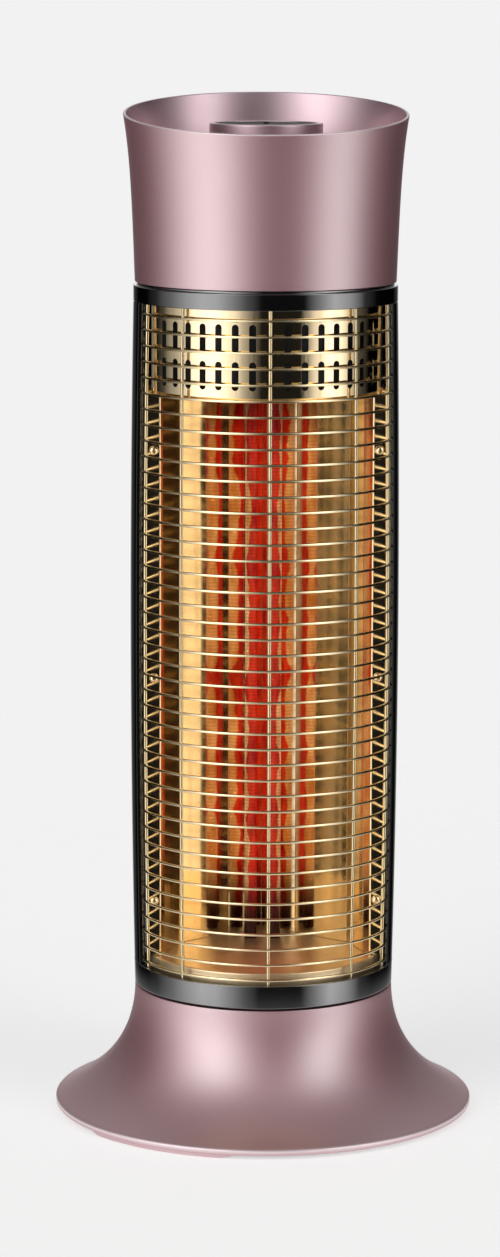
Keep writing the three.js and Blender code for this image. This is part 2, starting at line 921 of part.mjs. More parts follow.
// A channel behind one flange that carries its screws
function rail(side) {
  const front = -flangeFront + sheet + gap;
  const near = flangeInner + railInset;
  const far = near + railWidth;
  const low = Math.min(side * near, side * far);
  const high = Math.max(side * near, side * far);
  const bottom = floorPanTop + gap;
  const body = solid(block([low, front, bottom], [high, front + railDepth, mirrorTop]));
  const hollow = solid(block(
    [low + railWall, front + railWall, bottom - overrun],
    [high - railWall, front + railDepth + overrun, mirrorTop + overrun]
  ));
  const holes = flangeScrewPlaces().filter(([x]) => Math.sign(x) === side).map(([x, z]) =>
    solid(levelBar(flangeScrewRadius + gap, front - overrun, front + railWall + overrun, x, z, screwSteps)));
  return shape(cut(body, hollow, ...holes));
}

// A domed screw through a flange and its rail
function flangeScrew(x, z) {
  const seat = -flangeFront - gap;
  const outline = [[0, 0]];
  for (let i = 0; i < domeSteps; i++) {
    const angle = Math.PI * i / domeSteps / 2;
    outline.push([flangeScrewHeadRadius * Math.cos(angle), flangeScrewHeadHeight * Math.sin(angle)]);
  }
  outline.push([0, flangeScrewHeadHeight]);
  const dome = solid(revolved(outline, screwSteps).rotateX(Math.PI / 2).translate(x, seat, z));
  const shankFront = seat - flangeScrewHeadHeight / 2;
  const shank = levelBar(flangeScrewRadius, shankFront, seat + flangeScrewLength, x, z, screwSteps);
  return shape(joined(dome, solid(shank)));
}

// Glass tubes, their ceramic caps and the glowing elements inside
function addTubes() {
  const lowCapBottom = lowerDeckTop + gap;
  const lowCapTop = floorPanTop - sheet - gap;
  const highCapBottom = terminalPanBottom + sheet + gap;
  const capHeight = lowCapTop - lowCapBottom;
  const tubeBottom = lowCapBottom + capFloor + gap;
  const tubeTop = highCapBottom + capHeight - capFloor - gap;
  const inner = tubeRadius - tubeWall;
  const names = ['left', 'right'];
  tubePlaces().forEach(([x, y], i) => {
    const pipe = revolvedRing([
      [inner, tubeBottom],
      [tubeRadius, tubeBottom],
      [tubeRadius, tubeTop],
      [inner, tubeTop],
    ], smallSteps);
    add(`glass_tube_${names[i]}`, pipe.translate(x, y, 0), quartz);
    add(`carbon_element_${names[i]}`, element(x, y, tubeBottom, tubeTop), carbon);
    add(`tube_cap_${2 * i + 1}`, cap(lowCapBottom, capHeight).translate(x, y, 0), ceramic);
    const upper = cap(-highCapBottom - capHeight, capHeight).rotateX(Math.PI);
    add(`tube_cap_${2 * i + 2}`, upper.translate(x, y, 0), ceramic);
  });
}

// A cup that holds a tube's end
function cap(bottom, height) {
  const inner = tubeRadius + gap;
  return revolved([
    [0, bottom],
    [inner + capWall, bottom],
    [inner + capWall, bottom + height],
    [inner, bottom + height],
    [inner, bottom + capFloor],
    [0, bottom + capFloor],
  ], smallSteps);
}

// A twisted carbon strip with a straight lead at each end
function element(x, y, bottom, top) {
  const steps = elementTurns * elementStepsPerTurn;
  const loops = [];
  for (let i = 0; i <= steps; i++) {
    const angle = -2 * Math.PI * elementTurns * i / steps;
    const height = elementBottom + (elementTop - elementBottom) * i / steps;
    loops.push([[-1, -1], [1, -1], [1, 1], [-1, 1]].map(([across, through]) => {
      const u = across * elementHalfWidth;
      const v = through * elementThickness / 2;
      const px = x + u * Math.cos(angle) - v * Math.sin(angle);
      const py = y + u * Math.sin(angle) + v * Math.cos(angle);
      return new THREE.Vector3(px, py, height);
    }));
  }
  const strip = solid(stacked(loops));
  const low = solid(bar(leadRadius, bottom, elementBottom + leadOverlap, x, y, leadSteps));
  const high = solid(bar(leadRadius, elementTop - leadOverlap, top, x, y, leadSteps));
  return shape(joined(strip, low, high));
}

// A stadium-shaped cutter, upright in its own frame, that runs along -Y
function slotCutter(length, width, depth, endSteps) {
  const radius = width / 2;
  const straight = length - width;
  const points = [];
  for (let i = 0; i <= endSteps; i++) {
    const angle = Math.PI * i / endSteps;
    points.push(new THREE.Vector2(radius * Math.cos(angle), straight / 2 + radius * Math.sin(angle)));
  }
  for (let i = 0; i <= endSteps; i++) {
    const angle = Math.PI + Math.PI * i / endSteps;
    points.push(new THREE.Vector2(radius * Math.cos(angle), -straight / 2 + radius * Math.sin(angle)));
  }
  const geometry = new THREE.ExtrudeGeometry(new THREE.Shape(points), { depth, bevelEnabled: false });
  return geometry.rotateX(Math.PI / 2);
}

// Slotted collar: a gold band round the top of the mirror
function slottedCollar() {
  const inner = collarRadius - collarWall;
  const facets = 2 * (slotReach + collarEndPitches) + 1;
  const halfAngle = slotPitchAngle * facets / 2;
  const outline = sector(inner, collarRadius, -halfAngle, halfAngle, facets);
  const band = solid(plate(outline, collarBottom, upperLedgeBottom - gap));
  const cutters = [];
  for (const rise of Object.values(slotRowRises)) {
    for (let i = -slotReach; i <= slotReach; i++) {
      const cutter = slotCutter(slotLength, slotWidth, collarWall + 2 * overrun, slotEndSteps);
      cutter.translate(0, -inner + overrun, collarBottom + rise + slotLength / 2);
      cutters.push(solid(cutter.rotateZ(i * slotPitchAngle * DEG)));
    }
  }
  return shape(cut(band, ...cutters));
}

// Radius of the guard's level wires at a height
function guardRadius(z) {
  return bodyRadius(z) - guardInset - wireRadius;
}

// Radius of the uprights' backs at a height: their fronts reach the middle of the level wires
function uprightBack(z) {
  return guardRadius(z) - 2 * uprightRadius;
}

// Stations along a level wire: its ends, both edges of each upright and points along wide spans
function guardStations() {
  const half = uprightRadius / towerMidRadius / DEG;
  const edges = uprightAngles.flatMap((angle) => [angle - half, angle + half]);
  const marks = [-wireHalfAngle, ...edges, wireHalfAngle];
  const stations = [];
  marks.slice(1).forEach((end, i) => {
    const start = marks[i];
    const steps = Math.ceil((end - start) / wideSpan);
    const crossing = i % 2 === 1;
    for (let step = 0; step < steps; step++) {
      stations.push({ angle: start + (end - start) * step / steps, crossing });
    }
  });
  stations.push({ angle: wireHalfAngle, crossing: false });
  return stations;
}

// A level wire's corners at each station: under it, in front, over it and behind
function wireLoops(faces, z, stations) {
  const circle = guardRadius(z);
  return stations.map(({ angle }) => [
    faces.corner(circle, angle, z - wireRadius),
    faces.corner(circle + wireRadius, angle, z),
    faces.corner(circle, angle, z + wireRadius),
    faces.corner(circle - wireRadius, angle, z),
  ]);
}

// A level wire's faces, open behind where an upright crosses it
function wireFaces(faces, loops, stations) {
  for (let i = 0; i + 1 < loops.length; i++) {
    const size = loops[i].length;
    const sides = stations[i].crossing ? size / 2 : size;
    for (let side = 0; side < sides; side++) {
      const next = (side + 1) % size;
      faces.quad(loops[i][side], loops[i + 1][side], loops[i + 1][next], loops[i][next]);
    }
  }
  faces.quad(...loops[0]);
  faces.quad(...[...loops.at(-1)].reverse());
}

// Where the uprights cross a level wire: the corner loops that each upright meets below and above it
function wireSeats(faces, z, loops, stations) {
  const seats = [];
  stations.forEach(({ angle, crossing }, i) => {
    if (!crossing) return;
    const [underLeft, , overLeft, innerLeft] = loops[i];
    const [underRight, , overRight, innerRight] = loops[i + 1];
    const left = faces.corner(uprightBack(z), angle, z);
    const right = faces.corner(uprightBack(z), stations[i + 1].angle, z);
    faces.index.push(innerLeft, overLeft, left, underLeft, innerLeft, left);
    faces.index.push(overRight, innerRight, right, innerRight, underRight, right);
    const below = [underLeft, underRight, right, left];
    const above = [overLeft, overRight, right, left];
    seats.push({ below, above });
  });
  return seats;
}

// The ends of the uprights at a height
function uprightEnds(faces, z, stations) {
  const ends = [];
  stations.forEach(({ angle, crossing }, i) => {
    if (!crossing) return;
    const next = stations[i + 1].angle;
    ends.push([
      faces.corner(guardRadius(z), angle, z),
      faces.corner(guardRadius(z), next, z),
      faces.corner(uprightBack(z), next, z),
      faces.corner(uprightBack(z), angle, z),
    ]);
  });
  return ends;
}

// Wire guard: level wires welded into the fronts of upright ones, which stand between the two ledges
function wireGuard() {
  const faces = new FaceList();
  const stations = guardStations();
  let rising = uprightEnds(faces, lowerLedgeTop + gap, stations);
  rising.forEach((end) => faces.quad(...[...end].reverse()));
  for (let i = 0; i < wireCount; i++) {
    const z = bottomWire + i * wirePitch;
    const loops = wireLoops(faces, z, stations);
    wireFaces(faces, loops, stations);
    const seats = wireSeats(faces, z, loops, stations);
    seats.forEach(({ below }, k) => faces.sleeve(rising[k], below));
    rising = seats.map(({ above }) => above);
  }
  uprightEnds(faces, upperLedgeBottom - gap, stations).forEach((end, k) => {
    faces.sleeve(rising[k], end);
    faces.quad(...end);
  });
  return indexed(faces.places, faces.index);
}

// Rear cover: a barrel-curved sheet with a turned-in lip at each edge of the window and rows of vents
function rearCover() {
  const bottom = lowerRingTop + gap;
  const top = upperRingBottom - gap;
  const from = windowHalfAngle;
  const to = 360 - windowHalfAngle;
  const lipAngle = coverWall / towerMidRadius / DEG;
  const loops = [];
  for (let level = 0; level <= coverLevels; level++) {
    const z = bottom + (top - bottom) * level / coverLevels;
    const outer = bodyRadius(z);
    const inner = outer - coverWall;
    const loop = [
      ...arcPoints(outer, from, to, coverArcSteps),
      polar(outer - coverLip, to),
      polar(outer - coverLip, to - lipAngle),
      ...arcPoints(inner, to - lipAngle, from + lipAngle, coverArcSteps),
      polar(outer - coverLip, from + lipAngle),
      polar(outer - coverLip, from),
    ];
    loops.push(loop.map((point) => new THREE.Vector3(point.x, point.y, z)));
  }
  const cutters = [];
  for (const first of ventGroupBottoms) {
    for (const side of [-1, 1]) {
      for (let row = 0; row < ventRows; row++) {
        const cutter = slotCutter(ventLength, ventWidth, towerMidRadius, ventEndSteps);
        cutter.rotateY(Math.PI / 2);
        cutter.translate(side * ventColumnOffset, 2 * towerMidRadius - coverLip, first + row * ventPitch);
        cutters.push(solid(cutter));
      }
    }
  }
  return shape(cut(solid(stacked(loops)), ...cutters));
}

// Head shell: a cup whose rim lies in a slanted plane, lower at the front
function headShell() {
  const slope = Math.tan(rimTilt * DEG);
  const rimTopAt = (radius, angle) => headBottom + rimCentreHeight - slope * radius * Math.cos(angle * DEG);
  const ledgeTop = trayBottom - gap;
  const ledgeBottom = ledgeTop - trayLedgeThickness;
  const section = (angle) => {
    const guess = headRadius(headBottom + rimCentreHeight);
    const rim = rimTopAt(headRadius(rimTopAt(guess, angle)), angle);
    const outside = [];
    const inside = [];
    for (let level = 0; level <= headLevels; level++) {
      const z = headBottom + (rim - headWall / 2 - headBottom) * level / headLevels;
      outside.push([headRadius(z), z]);
    }
    for (let level = 0; level <= headInnerLevels; level++) {
      const z = ledgeTop + (rim - headWall / 2 - ledgeTop) * level / headInnerLevels;
      inside.push([headRadius(z) - headWall, z]);
    }
    const lip = headRadius(rim) - headWall / 2;
    return [
      ...outside,
      [lip + headWall / 4, rim],
      [lip - headWall / 4, rim],
      ...inside.reverse(),
      [headRadius(ledgeTop) - headWall - trayLedge, ledgeTop],
      [headRadius(ledgeTop) - headWall - trayLedge, ledgeBottom],
      [headRadius(ledgeBottom) - headWall, ledgeBottom],
      [headNeckRadius - headWall, headBottom],
    ];
  };
  return turnedSection(section, roundSteps);
}

// Control tray: the dished floor of the cup, with a flat place under the dial
function controlTray() {
  const outer = headRadius(trayTop) - headWall - gap;
  const curb = dialRadius + trayMargin;
  const bore = switchNeckRadius + gap;
  return revolvedRing([
    [bore, trayBottom],
    [outer, trayBottom],
    [outer, trayTop],
    [curb, trayTop - trayDish],
    [bore, trayTop - trayDish],
  ], roundSteps);
}

// Dial: a hollow cap with a hub, and a dark disc with a pointer set into its top
function addDial() {
  const inner = dialRadius - dialWall;
  const seat = dialTop - inlayDrop - inlayThickness - gap;
  const ceiling = seat - dialWall;
  const bore = dialShaftRadius + gap;
  const shaftTop = ceiling - gap;
  const body = solid(revolved([
    [0, seat],
    [dialRadius - dialRim, seat],
    [dialRadius - dialRim, dialTop],
    [dialRadius - dialChamfer, dialTop],
    [dialRadius, dialTop - dialChamfer],
    [dialRadius, dialBottom],
    [inner, dialBottom],
    [inner, ceiling],
    [dialHubRadius, ceiling],
    [dialHubRadius, dialBottom],
    [bore, dialBottom],
    [bore, ceiling],
    [0, ceiling],
  ], dialSteps));
  add('dial', shape(body), rose);

  const disc = solid(bar(dialRadius - dialRim - gap, seat + gap, dialTop - inlayDrop, 0, 0, dialSteps));
  const pointer = solid(bar(pointerRadius, seat + gap, dialTop - inlayDrop + pointerRise));
  add('dial_inlay', shape(joined(disc, pointer)), glossBlack);

  const neckTopLevel = trayTop - trayDish + switchNeckRise;
  add('dial_shaft', bar(dialShaftRadius, neckTopLevel + gap, shaftTop), steel);
  const half = switchWidth / 2;
  const switchTop = trayBottom - gap;
  const box = solid(block([-half, -half, switchTop - switchHeight], [half, half, switchTop]));
  const neck = solid(bar(switchNeckRadius, switchTop - switchNeckRise, neckTopLevel));
  add('rotary_switch', shape(joined(box, neck)), mattBlack);
}

// Terminal block on the upper deck and thermal cut-out inside the drum
function addElectrics() {
  const floor = upperLedgeTop + gap + upperDeckThickness + gap;
  const half = blockWidth / 2;
  const body = solid(block(
    [-half, blockAcross - blockDepth / 2, floor],
    [half, blockAcross + blockDepth / 2, floor + blockHeight]
  ));
  const wells = [];
  for (let i = 0; i < blockPoles; i++) {
    const x = (i - (blockPoles - 1) / 2) * blockWidth / blockPoles;
    const top = floor + blockHeight;
    wells.push(solid(bar(blockPoleRadius, top - blockPoleDepth, top + overrun, x, blockAcross)));
  }
  add('terminal_block', shape(cut(body, ...wells)), ceramic);

  const seat = terminalPanBottom + sheet + gap;
  const cutout = revolved([
    [0, seat],
    [cutoutFlangeRadius, seat],
    [cutoutFlangeRadius, seat + cutoutFlangeThickness],
    [cutoutRadius, seat + cutoutFlangeThickness],
    [cutoutRadius, seat + cutoutHeight],
    [0, seat + cutoutHeight],
  ], smallSteps);
  add('thermal_cutout', cutout.translate(0, -cutoutAcross, 0), mattBlack);
}

function addBase() {
  add('base_shell', baseShell(), rose);
  add('base_plate', basePlate(), mattBlack);
  add('ballast_plate', ballastPlate(), steel);
  addFeet();
  add('cord_gland', cordGland(), mattBlack);
  add('swing_motor', swingMotor(), steel);
  add('swivel_bearing', swivelBearing(), ceramic);
  addTipSwitch();
}

function addTower() {
  const shaftBottom = deckTop + motorCollarRise + gap;
  add('drive_shaft', bar(shaftRadius, shaftBottom, shaftBottom + shaftLength), steel);
  add('turntable', turntable(), mattBlack);
  add('lower_ring', lowerRing(), glossBlack);
  const hubHole = boreRadius(hubRadius, smallSteps);
  const deckRadius = uprightBack(lowerDeckTop) - gap;
  add('lower_deck', roundPlate(deckRadius, lowerDeckBottom, lowerDeckTop, [[0, 0, hubHole]]), steel);
  add('floor_pan', floorPan(), gold);
  add('reflector', reflector(), gold);
  add('rail_left', rail(-1), steel);
  add('rail_right', rail(1), steel);
  flangeScrewPlaces().forEach(([x, z], i) => add(`flange_screw_${i + 1}`, flangeScrew(x, z), gold));
  addTubes();
  add('terminal_pan', terminalPan(), mattBlack);
  add('slotted_collar', slottedCollar(), gold);
  add('wire_guard', wireGuard(), brassWire);
  add('rear_cover', rearCover(), glossBlack);
  add('upper_ring', upperRing(), glossBlack);
  const upperDeckLevel = upperLedgeTop + gap;
  const upperDeckRadius = clearRadius(spigotInner, roundSteps) - gap;
  const upperDeck = roundPlate(upperDeckRadius, upperDeckLevel, upperDeckLevel + upperDeckThickness);
  add('upper_deck', upperDeck, steel);
}

function addHead() {
  add('head_shell', headShell(), rose);
  add('control_tray', controlTray(), rose);
  addDial();
  addElectrics();
}

addBase();
addTower();
addHead();

export default heater;
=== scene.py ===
import json
import math

import bmesh
import bpy
from mathutils import Matrix, Vector


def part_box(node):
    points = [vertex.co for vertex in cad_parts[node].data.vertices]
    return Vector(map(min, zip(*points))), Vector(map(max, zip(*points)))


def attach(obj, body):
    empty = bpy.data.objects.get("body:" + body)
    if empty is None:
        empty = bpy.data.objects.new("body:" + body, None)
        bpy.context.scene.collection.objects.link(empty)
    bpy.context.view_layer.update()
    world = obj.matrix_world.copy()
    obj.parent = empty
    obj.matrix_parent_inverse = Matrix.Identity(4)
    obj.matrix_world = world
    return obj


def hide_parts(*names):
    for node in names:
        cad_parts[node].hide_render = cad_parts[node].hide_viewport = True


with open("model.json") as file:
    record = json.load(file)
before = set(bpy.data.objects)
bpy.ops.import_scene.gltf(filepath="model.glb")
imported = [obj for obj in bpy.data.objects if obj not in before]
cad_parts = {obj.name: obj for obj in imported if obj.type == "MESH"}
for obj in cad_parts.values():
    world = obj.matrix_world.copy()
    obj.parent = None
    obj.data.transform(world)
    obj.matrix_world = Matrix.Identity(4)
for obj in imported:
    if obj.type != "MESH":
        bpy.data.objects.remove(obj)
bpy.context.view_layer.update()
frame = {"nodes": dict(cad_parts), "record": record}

# Camera: fitted to the photograph's frame of 500 by 1257
PHOTO_HEIGHT = 1257
FOCAL_PIXELS = 4071.4
SENSOR_HEIGHT = 36.0
CAMERA_PLACE = Vector((-0.00963, -2.6719, 0.7689))
CAMERA_PITCH = 0.165
CAMERA_ROLL = 0.003
CAMERA_TURN = math.radians(-2)

# Steps and edges of every piece
ROUND_STEPS = 160
SMALL_STEPS = 32
FILLET_STEPS = 4
SMOOTH_ANGLE = math.radians(38)
STRAIGHT_ANGLE = math.radians(8)
FILLET_REACH_SHARE = 0.45
CHAMFER_SHARE = 0.3
SMALL_FILLET = 0.0003
SOFT_FILLET = 0.0004
GAP = 0.0003
HAIR = 1e-5
TINY = 1e-6
WELD = 1e-7
DEGENERATE = 1e-8
EDGE_HIGHLIGHT_MARK = "edge"

# Base
NECK_INSET = 0.00037
NECK_HANDLE = 0.0486
FLARE_HANDLE_WIDTH = 0.0191
FLARE_HANDLE_HEIGHT = 0.009
FLARE_STEPS = 48
RIM_HEIGHT = 0.0044
RIM_GAP = 0.0022
RIM_TOP = RIM_GAP + RIM_HEIGHT
RIM_ROUND = 0.001
BASE_WALL = 0.0022
DECK_DROP = 0.0029
DECK_THICKNESS = 0.0025
DECK_HOLE = 0.014
SKIRT_ANGLES = (-33, 103, 215)
SKIRT_SPAN = 46
SKIRT_INSET = 0.0005
SKIRT_THICKNESS = 0.0017
SKIRT_LIFT = 0.0003
SKIRT_FADE = 4
PAD_COUNT = 5
PAD_FILLET = 0.0006

# Cord gland and its seat; shares are of the flange's radius
GLAND_SEAT_RADIUS = 0.009
GLAND_SEAT_DEPTH = 0.026
GLAND_SEAT_INSET = 0.009
GLAND_FLANGE = 0.002
GLAND_HOLE_SHARE = 0.79
GLAND_BODY_SHARE = 0.75
GLAND_BORE_SHARE = 0.5
GLAND_TAPER = 0.92

# Tower barrel, seams and rings
TOWER_MID_RADIUS = 0.0893
TOWER_SAG = 0.0024
TOWER_MID_HEIGHT = 0.325
TOWER_HALF_HEIGHT = 0.23
RING_FILLET = 0.0006
LEDGE = 0.0023
LEDGE_RISE = 0.0031
LEDGE_REACH = 0.0164
SPIGOT_WALL = 0.002
SHOULDER_HEIGHT = 0.0015
SEAM_DEPTH = 0.0012
SEAM_HEIGHT = 0.0018

# Rear cover
WINDOW_HALF_ANGLE = 73.5
COVER_WALL = 0.001
COVER_LIP = 0.005
COVER_BEND_WALLS = 1.5
COVER_LEVELS = 48
COVER_ARC_STEPS = 110
VENT_LENGTH = 0.034
VENT_WIDTH = 0.004
VENT_PITCH = 0.009
VENT_ROWS = 5
VENT_COLUMN_OFFSET = 0.026
LOW_VENT_RISE = 0.031
HIGH_VENT_DROP = 0.0747

# Wire guard
WIRE_RADIUS = 0.0009
WIRE_SIDES = 8
WIRE_COUNT = 43
WIRE_HALF_ANGLE = 70.3
BOW_STEPS = 72
BOTTOM_WIRE_RISE = 0.0036
TOP_WIRE_DROP = 0.0066
UPRIGHT_RADIUS = 0.0011
UPRIGHT_SIDES = 10
UPRIGHT_POINTS = 64
UPRIGHT_ANGLES = (-68.2, -41.5, 0, 41.5, 68.2)
GUARD_INSET = 0.0015

# Mirror, pans and collar; a fold is given by its shares of the mirror's half width and depth
SHEET = 0.001
FLANGE_WIDTH = 0.0089
FOLD_SHARES = ((0.812, 0.511), (0.59, 0.69), (0.33, 0.92), (0.21, 0.953))
FOLD_RADIUS = 0.0016
PAN_ROUND = 0.0012
DRUM_RADIUS = 0.069
COLLAR_END_PITCHES = 1.5
COLLAR_PITCH_STEPS = 4
SLOT_LENGTH = 0.0185
SLOT_WIDTH = 0.0045
SLOT_ROUND_SHARE = 0.499
SLOT_END_STEPS = 8
SLOT_CUT_DEPTH = 8 * SHEET
SLOT_PITCH_ANGLE = 8
SLOT_REACH = 7
SLOT_ROW_RISES = (0.0064, 0.0304)

# Flange screws
SCREW_COUNT = 6
SCREW_HEAD_RADIUS = 0.0031
SCREW_HEAD_HEIGHT = 0.0022
SCREW_STEPS = 24
SCREW_LEVELS = 6

# Tubes and glowing elements
TUBE_ACROSS = 0.008
TUBE_BACK = 0.0223
TUBE_RADIUS = 0.0052
TUBE_WALL = 0.001
WINDING_PITCH = 0.0024
ELEMENT_HALF_WIDTH = 0.0029
ELEMENT_THICKNESS = 0.0006
ELEMENT_TURNS = 4
ELEMENT_STEPS = 240
ELEMENT_RISE = 0.0291
ELEMENT_DROP = 0.03
LEAD_RADIUS = 0.0004
LEAD_SIDES = 8

# Head, tray and dial
HEAD_NECK_INSET = 0.00103
HEAD_LEAN = 0.0043
HEAD_FLARE = 0.0054
HEAD_REACH = 0.12
HEAD_WALL = 0.002
HEAD_LEVELS = 28
RIM_CENTRE_HEIGHT = 0.10939
RIM_TILT = math.radians(6.28)
RIM_ROUNDS = 3
LIP_STEPS = 8
LIP_MARK_SHARE = 0.4
INSIDE_SHARE = 0.8
TRAY_LEDGE = 0.004
TRAY_DISH = 0.001
TRAY_MARGIN = 0.006
TRAY_BORE = 0.0053
DIAL_RADIUS = 0.0372
DIAL_WALL = 0.0024
DIAL_RIM = 0.0036
DIAL_FILLET = 0.0011
INLAY_DROP = 0.0006
INLAY_THICKNESS = 0.0014
POINTER_RADIUS = 0.0018


def bottom(node):
    """Lowest level of a solid."""
    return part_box(node)[0].z


def top(node):
    """Highest level of a solid."""
    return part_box(node)[1].z


# Levels read from the frame
BASE_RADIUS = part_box("base_shell")[1].x
NECK_TOP = top("base_shell")
LOWER_RING_BOTTOM = bottom("lower_ring")
LOWER_RING_TOP = top("lower_ring")
UPPER_RING_BOTTOM = bottom("upper_ring")
HEAD_BOTTOM = bottom("head_shell")
UPPER_RING_TOP = HEAD_BOTTOM - SEAM_HEIGHT
FLOOR_PAN_TOP = top("floor_pan")
MIRROR_TOP = top("reflector")
COLLAR_BOTTOM = bottom("slotted_collar")
COLLAR_TOP = top("slotted_collar")
TRAY_TOP = top("control_tray")
TRAY_BOTTOM = bottom("control_tray")
DIAL_BOTTOM = bottom("dial")
DIAL_TOP = top("dial")
ELEMENT_LOW = FLOOR_PAN_TOP + ELEMENT_RISE
ELEMENT_HIGH = MIRROR_TOP - ELEMENT_DROP


def body_radius(z):
    """Radius of the barrel-shaped housing at a height."""
    share = (z - TOWER_MID_HEIGHT) / TOWER_HALF_HEIGHT
    return TOWER_MID_RADIUS - TOWER_SAG * share * share


def head_radius(z):
    """Radius of the head's outside at a height."""
    share = (z - HEAD_BOTTOM) / HEAD_REACH
    return HEAD_NECK_RADIUS + HEAD_LEAN * share + HEAD_FLARE * share**4


def guard_radius(z):
    """Radius of the guard's level wires at a height."""
    return body_radius(z) - GUARD_INSET - WIRE_RADIUS


def polar(radius, degrees):
    """A point in plan, its angle counted from the front (-Y) towards +X."""
    angle = math.radians(degrees)
    return Vector((radius * math.sin(angle), -radius * math.cos(angle)))


HEAD_NECK_RADIUS = body_radius(UPPER_RING_TOP) - HEAD_NECK_INSET
NECK_RADIUS = body_radius(NECK_TOP) - NECK_INSET
LEDGE_RADIUS = guard_radius(LOWER_RING_TOP) - 2 * UPRIGHT_RADIUS - LEDGE_REACH


# Outlines
def bezier(points, steps):
    """Points along a cubic curve."""
    a, b, c, d = (Vector(point) for point in points)
    curve = []
    for i in range(steps + 1):
        t = i / steps
        s = 1 - t
        curve.append(a * s**3 + b * 3 * s * s * t + c * 3 * s * t * t + d * t**3)
    return curve


def arc(radius, start, end, steps):
    """Points of an arc in plan, its angles counted as in polar."""
    return [polar(radius, start + (end - start) * i / steps) for i in range(steps + 1)]


def filleted(points, radius, closed=True):
    """The outline with its sharp corners rounded; a small edge limits the radius."""
    points = [Vector(point[:2]) for point in points]
    count = len(points)
    result = []
    for i, corner in enumerate(points):
        if not closed and i in (0, count - 1):
            result.append(corner)
            continue
        before = points[i - 1] - corner
        after = points[(i + 1) % count] - corner
        turn = math.pi - before.angle(after)
        if turn < STRAIGHT_ANGLE:
            result.append(corner)
            continue
        longest = min(before.length * FILLET_REACH_SHARE, after.length * FILLET_REACH_SHARE)
        reach = min(radius * math.tan(turn / 2), longest)
        start = corner + before.normalized() * reach
        end = corner + after.normalized() * reach
        for step in range(FILLET_STEPS + 1):
            t = step / FILLET_STEPS
            result.append(start * (1 - t) ** 2 + corner * 2 * t * (1 - t) + end * t * t)
    return result


# Meshes
def new_object(name, data):
    """An object that is linked into the scene."""
    piece = bpy.data.objects.new(name, data)
    bpy.context.scene.collection.objects.link(piece)
    return piece


def smooth(piece):
    """Shades a mesh smooth and keeps its sharp edges."""
    piece.data.shade_smooth()
    piece.data.set_sharp_from_angle(angle=SMOOTH_ANGLE)
    return piece


def mesh_object(name, work):
    """A linked object from a bmesh, its faces pointing outwards."""
    bmesh.ops.remove_doubles(work, verts=work.verts, dist=WELD)
    bmesh.ops.recalc_face_normals(work, faces=work.faces)
    mesh = bpy.data.meshes.new(name)
    work.to_mesh(mesh)
    work.free()
    return smooth(new_object(name, mesh))


def weighted(piece):
    """Lets large faces lead the shading next to their fillets."""
    modifier = piece.modifiers.new("weighted normals", "WEIGHTED_NORMAL")
    modifier.keep_sharp = True
    return piece


def mark_highlight_edge(piece, on_edge):
    """Marks the points of a rounded edge, which get a painted highlight: a lighter paint colour."""
    marks = piece.data.attributes.new(EDGE_HIGHLIGHT_MARK, "FLOAT", "POINT")
    marks.data.foreach_set("value", [1.0 if on_edge(point.co) else 0.0 for point in piece.data.vertices])
    return piece


def add_loops(work, loops, wrap):
    """Faces between matching loops of corners; wrap joins the last loop to the first."""
    rings = loops + loops[:1] if wrap else loops
    for low, high in zip(rings, rings[1:]):
        size = len(low)
        for i in range(size):
            corners = [low[i], low[(i + 1) % size], high[(i + 1) % size], high[i]]
            distinct = list(dict.fromkeys(corners))
            if len(distinct) > 2:
                work.faces.new(distinct)


def add_bar(work, sections):
    """A closed bar through a row of sections, each a list of (x, y, z) corners."""
    loops = [[work.verts.new(corner) for corner in section] for section in sections]
    add_loops(work, loops, wrap=False)
    work.faces.new(loops[0][::-1])
    work.faces.new(loops[-1])


def add_prism(work, outline, low, high):
    """A straight upright prism of a plan outline."""
    add_bar(work, [[(x, y, z) for x, y in outline] for z in (low, high)])


def add_turned(work, section_at, steps=ROUND_STEPS):
    """A ring whose closed outline of (radius, height) points may change with the angle."""
    loops = []
    for i in range(steps):
        degrees = 360 * i / steps
        section = [(*polar(max(radius, 0), degrees), height) for radius, height in section_at(degrees)]
        loops.append([work.verts.new(corner) for corner in section])
    add_loops(work, loops, wrap=True)


def turned(name, outline):
    """A ring of one closed outline; points on the axis merge into a pole."""
    work = bmesh.new()
    add_turned(work, lambda degrees: outline)
    bmesh.ops.remove_doubles(work, verts=work.verts, dist=WELD)
    bmesh.ops.dissolve_degenerate(work, dist=DEGENERATE, edges=work.edges)
    return weighted(mesh_object(name, work))


def add_round(work, outline, place):
    """A small ring of (radius, along) points; place turns two offsets and an along into a point."""
    loops = []
    for i in range(SMALL_STEPS):
        angle = 2 * math.pi * i / SMALL_STEPS
        x, y = math.cos(angle), math.sin(angle)
        loops.append([work.verts.new(place(radius * x, radius * y, along)) for radius, along in outline])
    add_loops(work, loops, wrap=True)
    return loops


def upright_at(middle):
    """Places a small ring round an upright axis."""
    return lambda x, y, z: (middle.x + x, middle.y + y, z)


def level_at(height):
    """Places a small ring round the axis along Y at a height."""
    return lambda x, z, y: (x, y, height + z)


